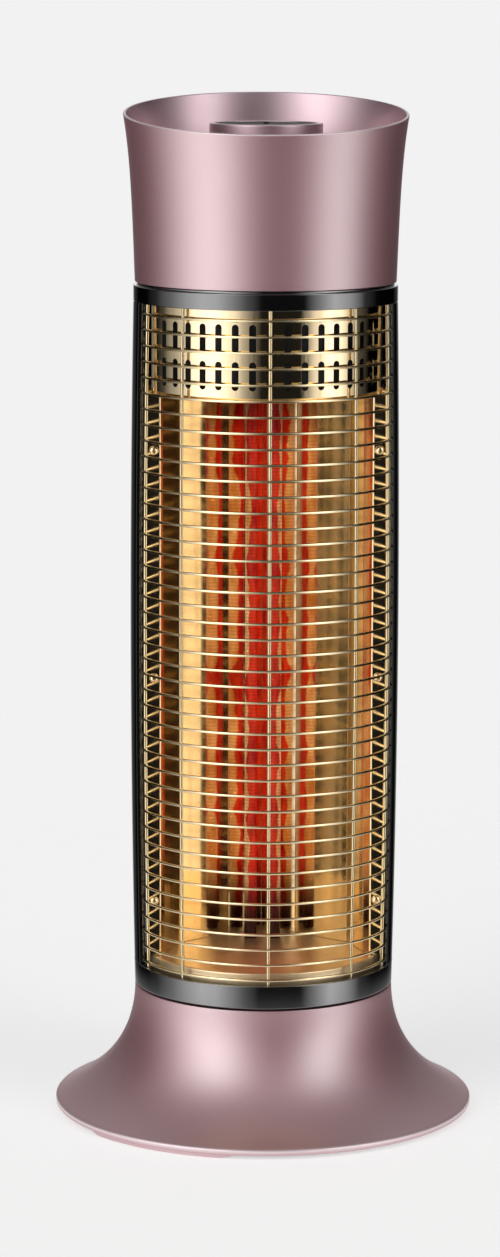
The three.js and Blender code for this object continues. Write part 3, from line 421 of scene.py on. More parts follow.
# Node trees
class Nodes:
    """A node tree that is filled one node at a time."""

    def __init__(self, tree):
        self.tree = tree

    def add(self, kind, inputs=None, **settings):
        """Adds a shader node, sets it and links or fills its inputs; gives back the node."""
        return self.fill("ShaderNode" + kind, inputs or {}, settings)

    def fill(self, kind, inputs, settings):
        """The work of add, for a kind written in full."""
        node = self.tree.nodes.new(kind)
        for name, value in settings.items():
            setattr(node, name, value)
        for key, value in inputs.items():
            if isinstance(value, (bpy.types.Node, bpy.types.NodeSocket)):
                self.link(value, node.inputs[key])
            else:
                node.inputs[key].default_value = value
        return node

    def link(self, source, target):
        """Links a socket, or a node's first output, to an input."""
        if isinstance(source, bpy.types.Node):
            source = source.outputs[0]
        self.tree.links.new(source, target)

    def math(self, operation, first, second=0.0):
        """The result of one operation on one or two numbers."""
        return self.add("Math", {0: first, 1: second}, operation=operation)

    def times(self, first, second):
        return self.math("MULTIPLY", first, second)

    def vector(self, x=0.0, y=0.0, z=0.0):
        return self.add("CombineXYZ", {"X": x, "Y": y, "Z": z})

    def parts(self, vector):
        """The outputs X, Y and Z of a vector."""
        return self.add("SeparateXYZ", {0: vector}).outputs

    def spread(self, value, low, high, start=0.0, end=1.0, **settings):
        """Maps a value that runs from start to end onto low to high."""
        inputs = {"Value": value, "From Min": start, "From Max": end, "To Min": low, "To Max": high}
        return self.add("MapRange", inputs, **settings)

    def ease(self, value, start, end):
        """A soft step from 0 at start to 1 at end."""
        return self.spread(value, 0.0, 1.0, start, end, interpolation_type="SMOOTHSTEP")

    def blend(self, share, first, second):
        """A colour between two colours."""
        return self.add("Mix", {0: share, 6: first, 7: second}, data_type="RGBA").outputs[2]

    def mix(self, share, first, second):
        """A number between two numbers."""
        return self.add("Mix", {0: share, 2: first, 3: second}, data_type="FLOAT")


class Growth(Nodes):
    """A Geometry Nodes tree with named inputs."""

    def __init__(self, name):
        super().__init__(bpy.data.node_groups.new(name, "GeometryNodeTree"))
        self.values = {}
        for side in ("INPUT", "OUTPUT"):
            self.tree.interface.new_socket("Geometry", in_out=side, socket_type="NodeSocketGeometry")
        self.source = self.tree.nodes.new("NodeGroupInput")

    def shape(self, kind, inputs, **settings):
        """Adds a geometry node in the same way."""
        return self.fill("GeometryNode" + kind, inputs, settings)

    def named(self, name, value, kind="NodeSocketFloat"):
        """Adds a named input and gives its socket."""
        socket = self.tree.interface.new_socket(name, in_out="INPUT", socket_type=kind)
        self.values[socket.identifier] = value
        return self.source.outputs[socket.identifier]

    def row(self, count, step, start=(0, 0, 0)):
        """Points in a straight row."""
        return self.shape("MeshLine", {"Count": count, "Start Location": start, "Offset": step})

    def copies(self, points, shape, **inputs):
        """Copies of a shape on points."""
        return self.shape("InstanceOnPoints", {"Points": points, "Instance": shape, **inputs})

    def join(self, first, second):
        """Two geometries as one."""
        both = self.shape("JoinGeometry", {0: first})
        self.link(second, both.inputs[0])
        return both

    def wire(self, curve, sides, radius):
        """A round wire along curves, its ends closed."""
        profile = self.shape("CurvePrimitiveCircle", {"Resolution": sides, "Radius": radius})
        inputs = {"Curve": curve, "Profile Curve": profile, "Fill Caps": True}
        return self.shape("CurveToMesh", inputs)

    def slot_cutter(self, length, width, depth):
        """A closed stadium prism along Z, long along X and centred."""
        sides = self.shape("CurvePrimitiveQuadrilateral", {"Width": length, "Height": width})
        ends = {"Curve": sides, "Radius": self.times(width, SLOT_ROUND_SHARE), "Count": SLOT_END_STEPS}
        stadium = self.shape("FilletCurve", ends, mode="POLY")
        lid = self.shape("FillCurve", {0: stadium}, mode="NGONS")
        down = self.vector(z=self.times(depth, -0.5))
        lid = self.shape("Transform", {0: lid, "Translation": down})
        inputs = {"Mesh": lid, "Offset": self.vector(z=depth), "Individual": False}
        walls = self.shape("ExtrudeMesh", inputs)
        both = self.join(walls, self.shape("FlipFaces", {0: lid}))
        return self.shape("MergeByDistance", {0: both, "Distance": TINY})

    def cut_out(self, cutters):
        """The tree's own geometry with the cutters taken out."""
        real = self.shape("RealizeInstances", {0: cutters})
        cut = self.shape("MeshBoolean", {0: self.source.outputs[0]}, operation="DIFFERENCE",
                       solver="MANIFOLD")
        self.link(real, cut.inputs[1])
        return cut

    def end(self, geometry, material):
        """Ends the tree: instances made real and given their material."""
        real = self.shape("RealizeInstances", {0: geometry})
        finish = self.named("Material", material, "NodeSocketMaterial")
        painted = self.shape("SetMaterial", {0: real, "Material": finish})
        self.link(painted, self.tree.nodes.new("NodeGroupOutput").inputs[0])

    def run(self, name, base):
        """Runs the tree on a base object and gives a plain mesh object in its place."""
        modifier = base.modifiers.new(name, "NODES")
        modifier.node_group = self.tree
        for identifier, value in self.values.items():
            modifier[identifier] = value
        bpy.context.view_layer.update()
        depsgraph = bpy.context.evaluated_depsgraph_get()
        mesh = bpy.data.meshes.new_from_object(base.evaluated_get(depsgraph), depsgraph=depsgraph)
        bpy.data.objects.remove(base)
        mesh.name = name
        return smooth(new_object(name, mesh))


def points_object(name, places, **attributes):
    """Loose points that a tree puts its copies on, with a float attribute for each keyword."""
    mesh = bpy.data.meshes.new(name)
    mesh.from_pydata([tuple(place) for place in places], [], [])
    for key, values in attributes.items():
        layer = mesh.attributes.new(key, "FLOAT", "POINT")
        layer.data.foreach_set("value", list(values))
    return new_object(name, mesh)


# Finishes
GOLD = (0.92, 0.73, 0.46)
FLAKE = (2600, 1)
FLAKE_DEPTH = 0.000004
# Lighter paint colour of the painted highlight on marked rounded edges
EDGE_HIGHLIGHT_COLOUR = (0.9, 0.72, 0.75, 1)
ROSE_ROUGHNESS = (0.58, 0.66)

# Glow of the tubes: alpha of the outer and inner wall, cold ends, clouds, tones and drift between the
# sides; the amber tones on the outer sides are a painted reflection of the gold mirror
QUARTZ_ALPHA = (0.06, 0.97)
TUBE_FADE = 0.03
TUBE_COLD_DROP = 0.02
STRIP_FADE = 0.02
CLOUD_RANGE = (0.36, 0.74)
RUBY_TONES = ((0.26, 0.001, 0.002, 1), (0.62, 0.018, 0.004, 1))
AMBER_REFLECTION_TONES = ((0.42, 0.15, 0.03, 1), (0.75, 0.42, 0.18, 1))
SIDE_WANDER = 1.4
AMBER_REFLECTION_SIDE = -0.62
RUBY_SIDE = -0.45
WINDING_LEVELS = (0.75, 1.12)
SPARK_RANGE = (0.7, 0.76)
SPARK_LEVEL = 1.4
STRIP_LEVELS = (1.2, 5.5)


def finish_nodes(name, colour, roughness, metallic=0.0, **sockets):
    """A material with its uniform values set on the shader; gives the material, tree and shader."""
    material = bpy.data.materials.new(name)
    material.use_nodes = True
    tree = Nodes(material.node_tree)
    shader = material.node_tree.nodes["Principled BSDF"]
    shader.inputs["Base Color"].default_value = (*colour, 1)
    shader.inputs["Roughness"].default_value = roughness
    shader.inputs["Metallic"].default_value = metallic
    for key, value in sockets.items():
        shader.inputs[key.replace("_", " ")].default_value = value
    return material, tree, shader


def object_place(tree):
    """Object coordinates, so that a finish stays with its piece."""
    return tree.add("TexCoord").outputs["Object"]


def grain(tree, scale, detail=3.0, stretch=(1, 1, 1)):
    """Noise on Object coordinates, stretched along an axis where a finish is brushed."""
    place = tree.add("Mapping", {"Vector": object_place(tree), "Scale": stretch})
    noise = tree.add("TexNoise", {"Vector": place, "Scale": scale, "Detail": detail})
    return noise.outputs["Fac"]


def vary_colour(tree, shader, amount, noise):
    """Lets the base colour drift between a darker and a lighter tone."""
    colour = Vector(shader.inputs["Base Color"].default_value[:3])
    dark, light = ((*(colour * share), 1) for share in (1 - amount, 1 + amount))
    tree.link(tree.blend(noise, dark, light), shader.inputs["Base Color"])


def vary_roughness(tree, shader, low, high, noise):
    """Lets the roughness drift between two values."""
    tree.link(tree.spread(noise, low, high), shader.inputs["Roughness"])


def emboss(tree, shader, depth, strength, noise):
    """Adds relief from a noise on top of any relief that the finish already has."""
    inputs = {"Height": noise, "Distance": depth, "Strength": strength}
    if shader.inputs["Normal"].is_linked:
        inputs["Normal"] = shader.inputs["Normal"].links[0].from_socket
    tree.link(tree.add("Bump", inputs), shader.inputs["Normal"])


def plain_finish(name, colour, roughness, metallic, tone, rough=None, reliefs=(), **sockets):
    """A finish with a drifting tone (amount), roughness (low, high) and reliefs (depth, strength).

    Each of these tuples ends with the scale, detail and stretch of its grain.
    """
    material, tree, shader = finish_nodes(name, colour, roughness, metallic, **sockets)
    amount, *noise = tone
    vary_colour(tree, shader, amount, grain(tree, *noise))
    if rough:
        low, high, *noise = rough
        vary_roughness(tree, shader, low, high, grain(tree, *noise))
    for depth, strength, *noise in reliefs:
        emboss(tree, shader, depth, strength, grain(tree, *noise))
    return material


def rose_paint():
    """Satin metallic paint: fine flake, a faint drift of tone, a clear coat, and rounded edges with a
    painted highlight: a lighter, smoother paint there.
    """
    material, tree, shader = finish_nodes("rose satin paint", (0.54, 0.225, 0.265), 0.62, 1.0,
                                          Coat_Weight=1.0, Coat_Roughness=0.4, Coat_IOR=3.9)
    flake = grain(tree, *FLAKE)
    vary_colour(tree, shader, 0.05, flake)
    edge = tree.add("Attribute", attribute_name=EDGE_HIGHLIGHT_MARK).outputs["Fac"]
    painted = shader.inputs["Base Color"].links[0].from_socket
    # Painted highlight: the marked edges get a lighter base colour, so that the rims show a bright line
    tree.link(tree.blend(edge, painted, EDGE_HIGHLIGHT_COLOUR), shader.inputs["Base Color"])
    satin = tree.spread(grain(tree, 60), *ROSE_ROUGHNESS)
    tree.link(tree.mix(edge, satin, ROSE_ROUGHNESS[0]), shader.inputs["Roughness"])
    emboss(tree, shader, FLAKE_DEPTH, 1.0, flake)
    return material


def glow_share(tree, low, high, cold_low, cold_high):
    """Share of the glow at a height: none at the cold ends, full between them."""
    height = tree.parts(object_place(tree))["Z"]
    return tree.times(tree.ease(height, cold_low, low), tree.ease(height, cold_high, high))


def cloud_tones(tree, clouds, tones):
    """A colour that follows the clouds from the first tone to the second."""
    ramp = tree.add("ValToRGB", {0: clouds})
    for element, position, tone in zip(ramp.color_ramp.elements, CLOUD_RANGE, tones):
        element.position = position
        element.color = tone
    return ramp


def ruby_quartz():
    """Quartz, clear outside: the inner wall glows ruby between the tubes; the amber glow on the outer
    flanks is a painted reflection of the gold mirror.
    """
    material, tree, shader = finish_nodes("ruby quartz", (0.05, 0.012, 0.01), 0.25,
                                          Specular_IOR_Level=0.15)
    place = tree.parts(object_place(tree))
    inward = tree.math("SUBTRACT", TUBE_ACROSS, tree.math("ABSOLUTE", place["X"]))
    through = tree.math("SUBTRACT", place["Y"], TUBE_BACK)
    radius = tree.math("SQRT", tree.math("ADD", tree.times(inward, inward), tree.times(through, through)))
    wall = tree.math("LESS_THAN", radius, TUBE_RADIUS - TUBE_WALL / 2)
    tree.link(tree.spread(wall, *QUARTZ_ALPHA), shader.inputs["Alpha"])

    clouds = grain(tree, 130, 5, (1, 1, 0.32))
    # Painted reflection: towards the outer flanks the glow turns amber and stands for the gold mirror seen
    # in the glass
    wander = tree.spread(grain(tree, 30, 3, (0.4, 0.4, 1)), -SIDE_WANDER, SIDE_WANDER)
    facing = tree.math("ADD", tree.math("DIVIDE", inward, radius), wander)
    side = tree.ease(facing, AMBER_REFLECTION_SIDE, RUBY_SIDE)
    glow_and_reflection_tint = tree.blend(side, cloud_tones(tree, clouds, AMBER_REFLECTION_TONES), cloud_tones(tree, clouds, RUBY_TONES))
    tree.link(glow_and_reflection_tint, shader.inputs["Emission Color"])

    glow = glow_share(tree, ELEMENT_LOW + TUBE_FADE, ELEMENT_HIGH - TUBE_FADE,
                      ELEMENT_LOW - TUBE_COLD_DROP, ELEMENT_HIGH + TUBE_FADE)
    turns = tree.math("SINE", tree.times(place["Z"], 2 * math.pi / WINDING_PITCH))
    winding = tree.spread(turns, *WINDING_LEVELS, start=-1.0)
    sparks = tree.spread(grain(tree, 620, 1), 0.0, SPARK_LEVEL, *SPARK_RANGE)
    strength = tree.times(tree.times(glow, wall), tree.math("ADD", winding, sparks))
    tree.link(strength, shader.inputs["Emission Strength"])
    return material


def glowing_carbon():
    """Carbon strip that glows orange between its cold ends."""
    material, tree, shader = finish_nodes("glowing carbon", (0.08, 0.02, 0.015), 0.6,
                                          Emission_Color=(1.0, 0.18, 0.04, 1))
    glow = glow_share(tree, ELEMENT_LOW + STRIP_FADE, ELEMENT_HIGH - STRIP_FADE, ELEMENT_LOW, ELEMENT_HIGH)
    weave = grain(tree, 900, 2, (1, 1, 0.5))
    uneven = tree.spread(weave, *STRIP_LEVELS)
    tree.link(tree.times(glow, uneven), shader.inputs["Emission Strength"])
    vary_colour(tree, shader, 0.2, weave)
    return material


FINISHES = {
    "rose_metal": rose_paint(),
    # Glossy black plastic with faint wiping marks
    "gloss_black": plain_finish(
        "gloss black", (0.002, 0.002, 0.002), 0.1, 0.0, (0.1, 400), (0.07, 0.14, 26, 5, (1, 1, 0.2)),
        [(0.00001, 1.0, 30, 1)], IOR=2.4, Coat_Weight=1.0, Coat_Roughness=0.04),
    # Gold mirror sheet with the slight waves of bent thin metal
    "gold_mirror": plain_finish(
        "gold mirror", GOLD, 0.09, 1.0, (0.04, 90), (0.06, 0.12, 140, 4, (1, 1, 0.15)),
        [(0.0012, 0.5, 16, 1, (1, 1, 0.45)), (0.0006, 0.6, 70, 1, (1, 1, 0.04))]),
    # Bright pale gold plating on drawn wire
    "brass_wire": plain_finish(
        "pale gold wire", (0.83, 0.68, 0.42), 0.2, 1.0, (0.07, 180), (0.15, 0.28, 500),
        [(0.00001, 1.0, 1500)]),
    # Zinc-plated steel with a short brushed grain
    "zinc_steel": plain_finish(
        "zinc steel", (0.55, 0.56, 0.57), 0.34, 1.0, (0.12, 120), (0.26, 0.44, 500, 3, (0.1, 1, 1)),
        [(0.00002, 1.0, 900, 2, (0.1, 1, 1))]),
    # Black plastic with a fine spark-eroded grain
    "matt_black": plain_finish(
        "matt black", (0.02, 0.02, 0.021), 0.58, 0.0, (0.2, 1400), (0.5, 0.66, 1400),
        [(0.00004, 1.0, 1400)]),
    # Unglazed ceramic with fine specks
    "ceramic": plain_finish(
        "ceramic", (0.74, 0.7, 0.62), 0.7, 0.0, (0.07, 1800, 4), None, [(0.00003, 1.0, 1800, 4)]),
    # Black rubber with a dull bloom
    "rubber": plain_finish(
        "rubber", (0.015, 0.015, 0.015), 0.85, 0.0, (0.3, 700, 5), None, [(0.00003, 1.0, 700, 5)]),
    "quartz_glass": ruby_quartz(),
    "carbon": glowing_carbon(),
}
# The mirror's gold sheet, but satin, so that it spreads the light that falls on it
SATIN_GOLD = plain_finish(
    "satin gold", GOLD, 0.42, 1.0, (0.08, 90), (0.3, 0.5, 140, 4), [(0.0005, 0.5, 60, 2)])
# The rose paint, polished, on the dial and the inside of the cup
POLISHED_ROSE = plain_finish(
    "rose polished paint", (0.66, 0.49, 0.53), 0.42, 1.0, (0.04, *FLAKE), (0.38, 0.46, 60),
    [(FLAKE_DEPTH, 1.0, *FLAKE)], Coat_Weight=0.6, Coat_Roughness=0.2)
# Black disc of the dial with a fine sheen
DULL_BLACK = plain_finish(
    "dull black", (0.006, 0.005, 0.005), 0.5, 0.0, (0.2, 900), (0.42, 0.56, 1400),
    Specular_IOR_Level=0.08)


def fit(piece, body, slot, *nodes, finish=None):
    """Gives a piece its finish, its body and the solids that it stands for."""
    piece.data.materials.clear()
    piece.data.materials.append(finish or FINISHES[slot])
    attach(piece, body)
    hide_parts(*nodes)
    return piece


def extent(node):
    """The lowest and the highest corner of a solid, and its middle."""
    low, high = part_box(node)
    return low, high, (low + high) / 2


# Base
def base_flare():
    """The trumpet curve outside and an even wall inside, from the neck to the rim."""
    edge = BASE_RADIUS - RIM_ROUND
    outside = bezier([
        (NECK_RADIUS, NECK_TOP), (NECK_RADIUS, NECK_TOP - NECK_HANDLE),
        (edge - FLARE_HANDLE_WIDTH, RIM_TOP + FLARE_HANDLE_HEIGHT), (edge, RIM_TOP),
    ], FLARE_STEPS)
    inside = []
    for before, here, after in zip(outside, outside[1:], outside[2:]):
        along = (after - before).normalized()
        inside.append(here + Vector((along.y, -along.x)) * BASE_WALL)
    return outside, inside


def base_cover():
    """The trumpet with its neck, the deck inside the neck, the skirts and the gland's seat."""
    outside, inside = base_flare()
    deck_top = NECK_TOP - DECK_DROP
    deck_bottom = deck_top - DECK_THICKNESS
    neck_inside = NECK_RADIUS - BASE_WALL
    under_deck = [point for point in inside if RIM_TOP < point.y < deck_bottom - BASE_WALL]
    chamfer = RING_FILLET * CHAMFER_SHARE
    outline = [
        (NECK_RADIUS - RING_FILLET, NECK_TOP),
        (NECK_RADIUS - chamfer, NECK_TOP - chamfer),
        (NECK_RADIUS, NECK_TOP - RING_FILLET),
        *(point for point in outside if point.y < NECK_TOP - 2 * RING_FILLET),
    ]
    rim = [(BASE_RADIUS, RIM_TOP - RIM_ROUND), (BASE_RADIUS, RIM_GAP), (BASE_RADIUS - BASE_WALL, RIM_GAP)]
    outline += filleted([outline[-1], *rim, under_deck[-1]], RIM_ROUND, closed=False)[1:-1]
    outline += under_deck[::-1]
    outline += [
        (neck_inside, deck_bottom), (DECK_HOLE, deck_bottom), (DECK_HOLE, deck_top),
        (neck_inside, deck_top), (neck_inside, NECK_TOP),
    ]
    work = bmesh.new()
    add_turned(work, lambda degrees: outline)
    for middle in SKIRT_ANGLES:
        add_skirt(work, middle)
    add_gland_seat(work)
    cover = weighted(mesh_object("base_cover", work))
    # Painted highlight: the rim's rounded edge is marked for a lighter paint colour
    corner = Vector((BASE_RADIUS, RIM_TOP - RIM_ROUND))
    mark_highlight_edge(cover, lambda place: (Vector((place.xy.length, place.z)) - corner).length < RIM_ROUND / 2)
    return fit(cover, "base", "rose_metal", "base_shell")


def add_skirt(work, middle):
    """A foot skirt under the rim that reaches the floor and fades out at both ends."""
    outer = BASE_RADIUS - SKIRT_INSET
    inner = outer - SKIRT_THICKNESS
    root = RIM_GAP + RIM_HEIGHT / 2
    sections = []
    for i in range(SKIRT_SPAN + 1):
        into = min(i, SKIRT_SPAN - i) / SKIRT_FADE
        drop = 1 - (1 - min(into, 1)) ** 2
        low = RIM_GAP + (SKIRT_LIFT - RIM_GAP) * drop - HAIR
        section = filleted([(outer, root), (outer, low), (inner, low), (inner, root)], SKIRT_LIFT)
        sections.append([(*polar(r, middle - SKIRT_SPAN / 2 + i), z) for r, z in section])
    add_bar(work, sections)


def add_gland_seat(work):
    """A round boss at the back that carries the cord gland."""
    height = (bottom("cord_gland") + top("cord_gland")) / 2
    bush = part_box("cord_gland")
    bore = (bush[1].x - bush[0].x) / 2 * GLAND_HOLE_SHARE
    face = BASE_RADIUS - GLAND_SEAT_INSET
    foot = face - GLAND_SEAT_DEPTH
    outline = [(bore, face), (GLAND_SEAT_RADIUS, face), (GLAND_SEAT_RADIUS, foot), (bore, foot)]
    add_round(work, filleted(outline, RING_FILLET), level_at(height))


def cord_gland():
    """The bush where the cord leaves: body, flange and a tapered nose."""
    low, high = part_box("cord_gland")
    flange = (high.x - low.x) / 2
    body = flange * GLAND_BODY_SHARE
    bore = flange * GLAND_BORE_SHARE
    seat = BASE_RADIUS - GLAND_SEAT_INSET + GAP
    outline = filleted([
        (bore, low.y), (body, low.y), (body, seat), (flange, seat), (flange, seat + GLAND_FLANGE),
        (body, seat + GLAND_FLANGE), (body * GLAND_TAPER, high.y), (bore, high.y),
    ], SOFT_FILLET)
    work = bmesh.new()
    add_round(work, outline, level_at((low.z + high.z) / 2))
    return fit(weighted(mesh_object("gland_bush", work)), "base", "matt_black", "cord_gland")


def foot_pads():
    """Rubber pads with a rounded edge."""
    for i in range(1, PAD_COUNT + 1):
        node = f"foot_pad_{i}"
        low, high, middle = extent(node)
        radius = (high.x - low.x) / 2
        outline = filleted([(0, 0), (radius, 0), (radius, high.z), (0, high.z)], PAD_FILLET)
        work = bmesh.new()
        loops = add_round(work, [point for point in outline if point.x > TINY], upright_at(middle))
        for end in (0, -1):
            work.faces.new([loop[end] for loop in loops])
        fit(mesh_object(f"pad_{i}", work), "base", "rubber", node)


# Tower
def lower_ring():
    """Black ring under the window, with a ledge for the lower deck."""
    inner = guard_radius(LOWER_RING_TOP) + GAP
    ledge_bottom = LOWER_RING_BOTTOM + LEDGE_RISE
    ledge_top = ledge_bottom + LEDGE
    outline = filleted([
        (body_radius(LOWER_RING_BOTTOM), LOWER_RING_BOTTOM),
        (body_radius(LOWER_RING_TOP), LOWER_RING_TOP), (inner, LOWER_RING_TOP),
        (inner, ledge_top), (LEDGE_RADIUS, ledge_top), (LEDGE_RADIUS, ledge_bottom),
        (inner, ledge_bottom), (inner, LOWER_RING_BOTTOM),
    ], RING_FILLET)
    return fit(turned("bottom_ring", outline), "tower", "gloss_black", "lower_ring")


def upper_ring():
    """Black ring over the window, with a ledge for the upper deck and a spigot for the head."""
    inner = guard_radius(UPPER_RING_BOTTOM) + GAP
    outer = body_radius(UPPER_RING_BOTTOM)
    shoulder = HEAD_NECK_RADIUS - SEAM_DEPTH
    shoulder_top = UPPER_RING_TOP + SHOULDER_HEIGHT
    spigot = HEAD_NECK_RADIUS - HEAD_WALL - GAP
    ledge_top = (UPPER_RING_BOTTOM + UPPER_RING_TOP) / 2
    outline = filleted([
        (outer, UPPER_RING_BOTTOM), (outer, UPPER_RING_TOP), (shoulder, UPPER_RING_TOP),
        (shoulder, shoulder_top), (spigot, shoulder_top), (spigot, top("upper_ring")),
        (spigot - SPIGOT_WALL, top("upper_ring")), (spigot - SPIGOT_WALL, ledge_top),
        (LEDGE_RADIUS, ledge_top), (LEDGE_RADIUS, ledge_top - LEDGE),
        (inner, ledge_top - LEDGE), (inner, UPPER_RING_BOTTOM),
    ], RING_FILLET)
    return fit(turned("top_ring", outline), "tower", "gloss_black", "upper_ring")


def floor_pan():
    """Satin gold floor under the tubes."""
    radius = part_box("floor_pan")[1].x
    low = bottom("floor_pan")
    outline = filleted([
        (0, FLOOR_PAN_TOP), (radius, FLOOR_PAN_TOP), (radius, low),
        (radius - SHEET, low), (radius - SHEET, FLOOR_PAN_TOP - SHEET),
        (0, FLOOR_PAN_TOP - SHEET),
    ], PAN_ROUND)
    return fit(turned("gold_floor", outline), "tower", "gold_mirror", "floor_pan", finish=SATIN_GOLD)


def terminal_pan():
    """Drum above the mirror, dark behind the slotted collar."""
    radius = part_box("terminal_pan")[1].x
    low, high = bottom("terminal_pan"), top("terminal_pan")
    outline = filleted([
        (0, low), (radius, low), (radius, low + SHEET), (DRUM_RADIUS, low + SHEET),
        (DRUM_RADIUS, high), (DRUM_RADIUS - SHEET, high),
        (DRUM_RADIUS - SHEET, low + SHEET), (0, low + SHEET),
    ], SMALL_FILLET)
    return fit(turned("dark_drum", outline), "tower", "matt_black", "terminal_pan")


def mirror_folds():
    """The mirror's folds from the left flange to the right one, in plan."""
    low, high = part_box("reflector")
    outer = high.x
    inner = outer - FLANGE_WIDTH
    front = low.y
    depth = high.y - SHEET - front
    half = [Vector((inner * wide, front + depth * deep)) for wide, deep in FOLD_SHARES]
    right = [Vector((outer, front)), Vector((inner, front)), *half]
    left = [Vector((-point.x, point.y)) for point in right]
    return [*left, Vector((0, front + depth)), *right[::-1]]


def reflector():
    """Gold mirror sheet, rounded along each fold."""
    front = filleted(mirror_folds(), FOLD_RADIUS, closed=False)
    back = []
    for i, point in enumerate(front):
        along = (front[min(i + 1, len(front) - 1)] - front[max(i - 1, 0)]).normalized()
        back.append(point + Vector((-along.y, along.x)) * SHEET)
    work = bmesh.new()
    add_prism(work, [*front, *back[::-1]], bottom("reflector"), MIRROR_TOP)
    return fit(mesh_object("gold_mirror", work), "tower", "gold_mirror", "reflector")


def slotted_collar():
    """Gold band with two rows of upright slots; a tree sets the slots round it."""
    outer = -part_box("slotted_collar")[0].y
    half = SLOT_PITCH_ANGLE * (SLOT_REACH + COLLAR_END_PITCHES)
    steps = COLLAR_PITCH_STEPS * round(2 * half / SLOT_PITCH_ANGLE)
    outline = [*arc(outer, -half, half, steps), *arc(outer - SHEET, half, -half, steps)]
    work = bmesh.new()
    add_prism(work, outline, COLLAR_BOTTOM, COLLAR_TOP)
    base = mesh_object("collar_base", work)

    tree = Growth("slotted band")
    length = tree.named("Slot length", SLOT_LENGTH)
    width = tree.named("Slot width", SLOT_WIDTH)
    depth = tree.named("Cut depth", SLOT_CUT_DEPTH)
    radius = tree.named("Band radius", outer)
    pitch = tree.named("Pitch angle", math.radians(SLOT_PITCH_ANGLE))
    reach = tree.named("Slots each side", SLOT_REACH, "NodeSocketInt")
    first = tree.named("First row height", COLLAR_BOTTOM + SLOT_ROW_RISES[0] + SLOT_LENGTH / 2)
    rows = tree.named("Rows", len(SLOT_ROW_RISES), "NodeSocketInt")
    row_pitch = tree.named("Row pitch", SLOT_ROW_RISES[1] - SLOT_ROW_RISES[0])
    cutter = {0: tree.slot_cutter(length, width, depth), "Rotation": (0, math.pi / 2, math.pi / 2)}
    upright = tree.shape("Transform", cutter)
    forward = tree.vector(y=tree.times(radius, -1.0), z=first)
    placed = tree.shape("Transform", {0: upright, "Translation": forward})
    count = tree.math("ADD", tree.times(reach, 2.0), 1.0)
    index = tree.shape("InputIndex", {})
    turn = tree.times(tree.math("SUBTRACT", index, reach), pitch)
    one_row = tree.copies(tree.row(count, (0, 0, 0)), placed, Rotation=tree.vector(z=turn))
    slots = tree.copies(tree.row(rows, tree.vector(z=row_pitch)), one_row)
    tree.end(tree.cut_out(slots), FINISHES["gold_mirror"])
    return fit(tree.run("collar_band", base), "tower", "gold_mirror", "slotted_collar")


def rear_cover():
    """Barrel-curved sheet with a turned-in lip at the window; a tree cuts its vents."""
    low, high = bottom("rear_cover"), top("rear_cover")
    start, end = WINDOW_HALF_ANGLE, 360 - WINDOW_HALF_ANGLE
    lip = math.degrees(COVER_WALL / TOWER_MID_RADIUS)
    bend = COVER_BEND_WALLS * lip
    chamfer = COVER_WALL * CHAMFER_SHARE
    chamfer_angle = lip * CHAMFER_SHARE
    sections = []
    for level in range(COVER_LEVELS + 1):
        z = low + (high - low) * level / COVER_LEVELS
        outer = body_radius(z)
        inner = outer - COVER_WALL
        edge_in = outer - COVER_LIP
        loop = [
            *arc(outer, start + lip, end - lip, COVER_ARC_STEPS),
            polar(outer - chamfer, end - chamfer_angle),
            polar(inner, end),
            polar(edge_in, end),
            polar(edge_in, end - lip),
            *arc(inner, end - bend, start + bend, COVER_ARC_STEPS),
            polar(edge_in, start + lip),
            polar(edge_in, start),
            polar(inner, start),
            polar(outer - chamfer, start + chamfer_angle),
        ]
        sections.append([(*point, z) for point in loop])
    work = bmesh.new()
    add_bar(work, sections)
    base = mesh_object("cover_base", work)

    tree = Growth("vented sheet")
    length = tree.named("Vent length", VENT_LENGTH)
    width = tree.named("Vent width", VENT_WIDTH)
    depth = tree.named("Cut depth", TOWER_MID_RADIUS)
    rows = tree.named("Rows", VENT_ROWS, "NodeSocketInt")
    pitch = tree.named("Pitch", VENT_PITCH)
    columns = tree.named("Column distance", 2 * VENT_COLUMN_OFFSET)
    first = tree.named("First row height", LOWER_RING_TOP + LOW_VENT_RISE)
    group_rise = UPPER_RING_BOTTOM - HIGH_VENT_DROP - LOWER_RING_TOP - LOW_VENT_RISE
    groups = tree.named("Group distance", group_rise)
    cutter = {0: tree.slot_cutter(length, width, depth), "Rotation": (math.pi / 2, 0, 0)}
    vents = tree.copies(tree.row(rows, tree.vector(z=pitch)), tree.shape("Transform", cutter))
    corner = tree.vector(tree.times(columns, -0.5), depth, first)
    vents = tree.copies(tree.row(2, tree.vector(columns), corner), vents)
    vents = tree.copies(tree.row(2, tree.vector(z=groups)), vents)
    tree.end(tree.cut_out(vents), FINISHES["gloss_black"])
    return fit(tree.run("cover_sheet", base), "tower", "gloss_black", "rear_cover")


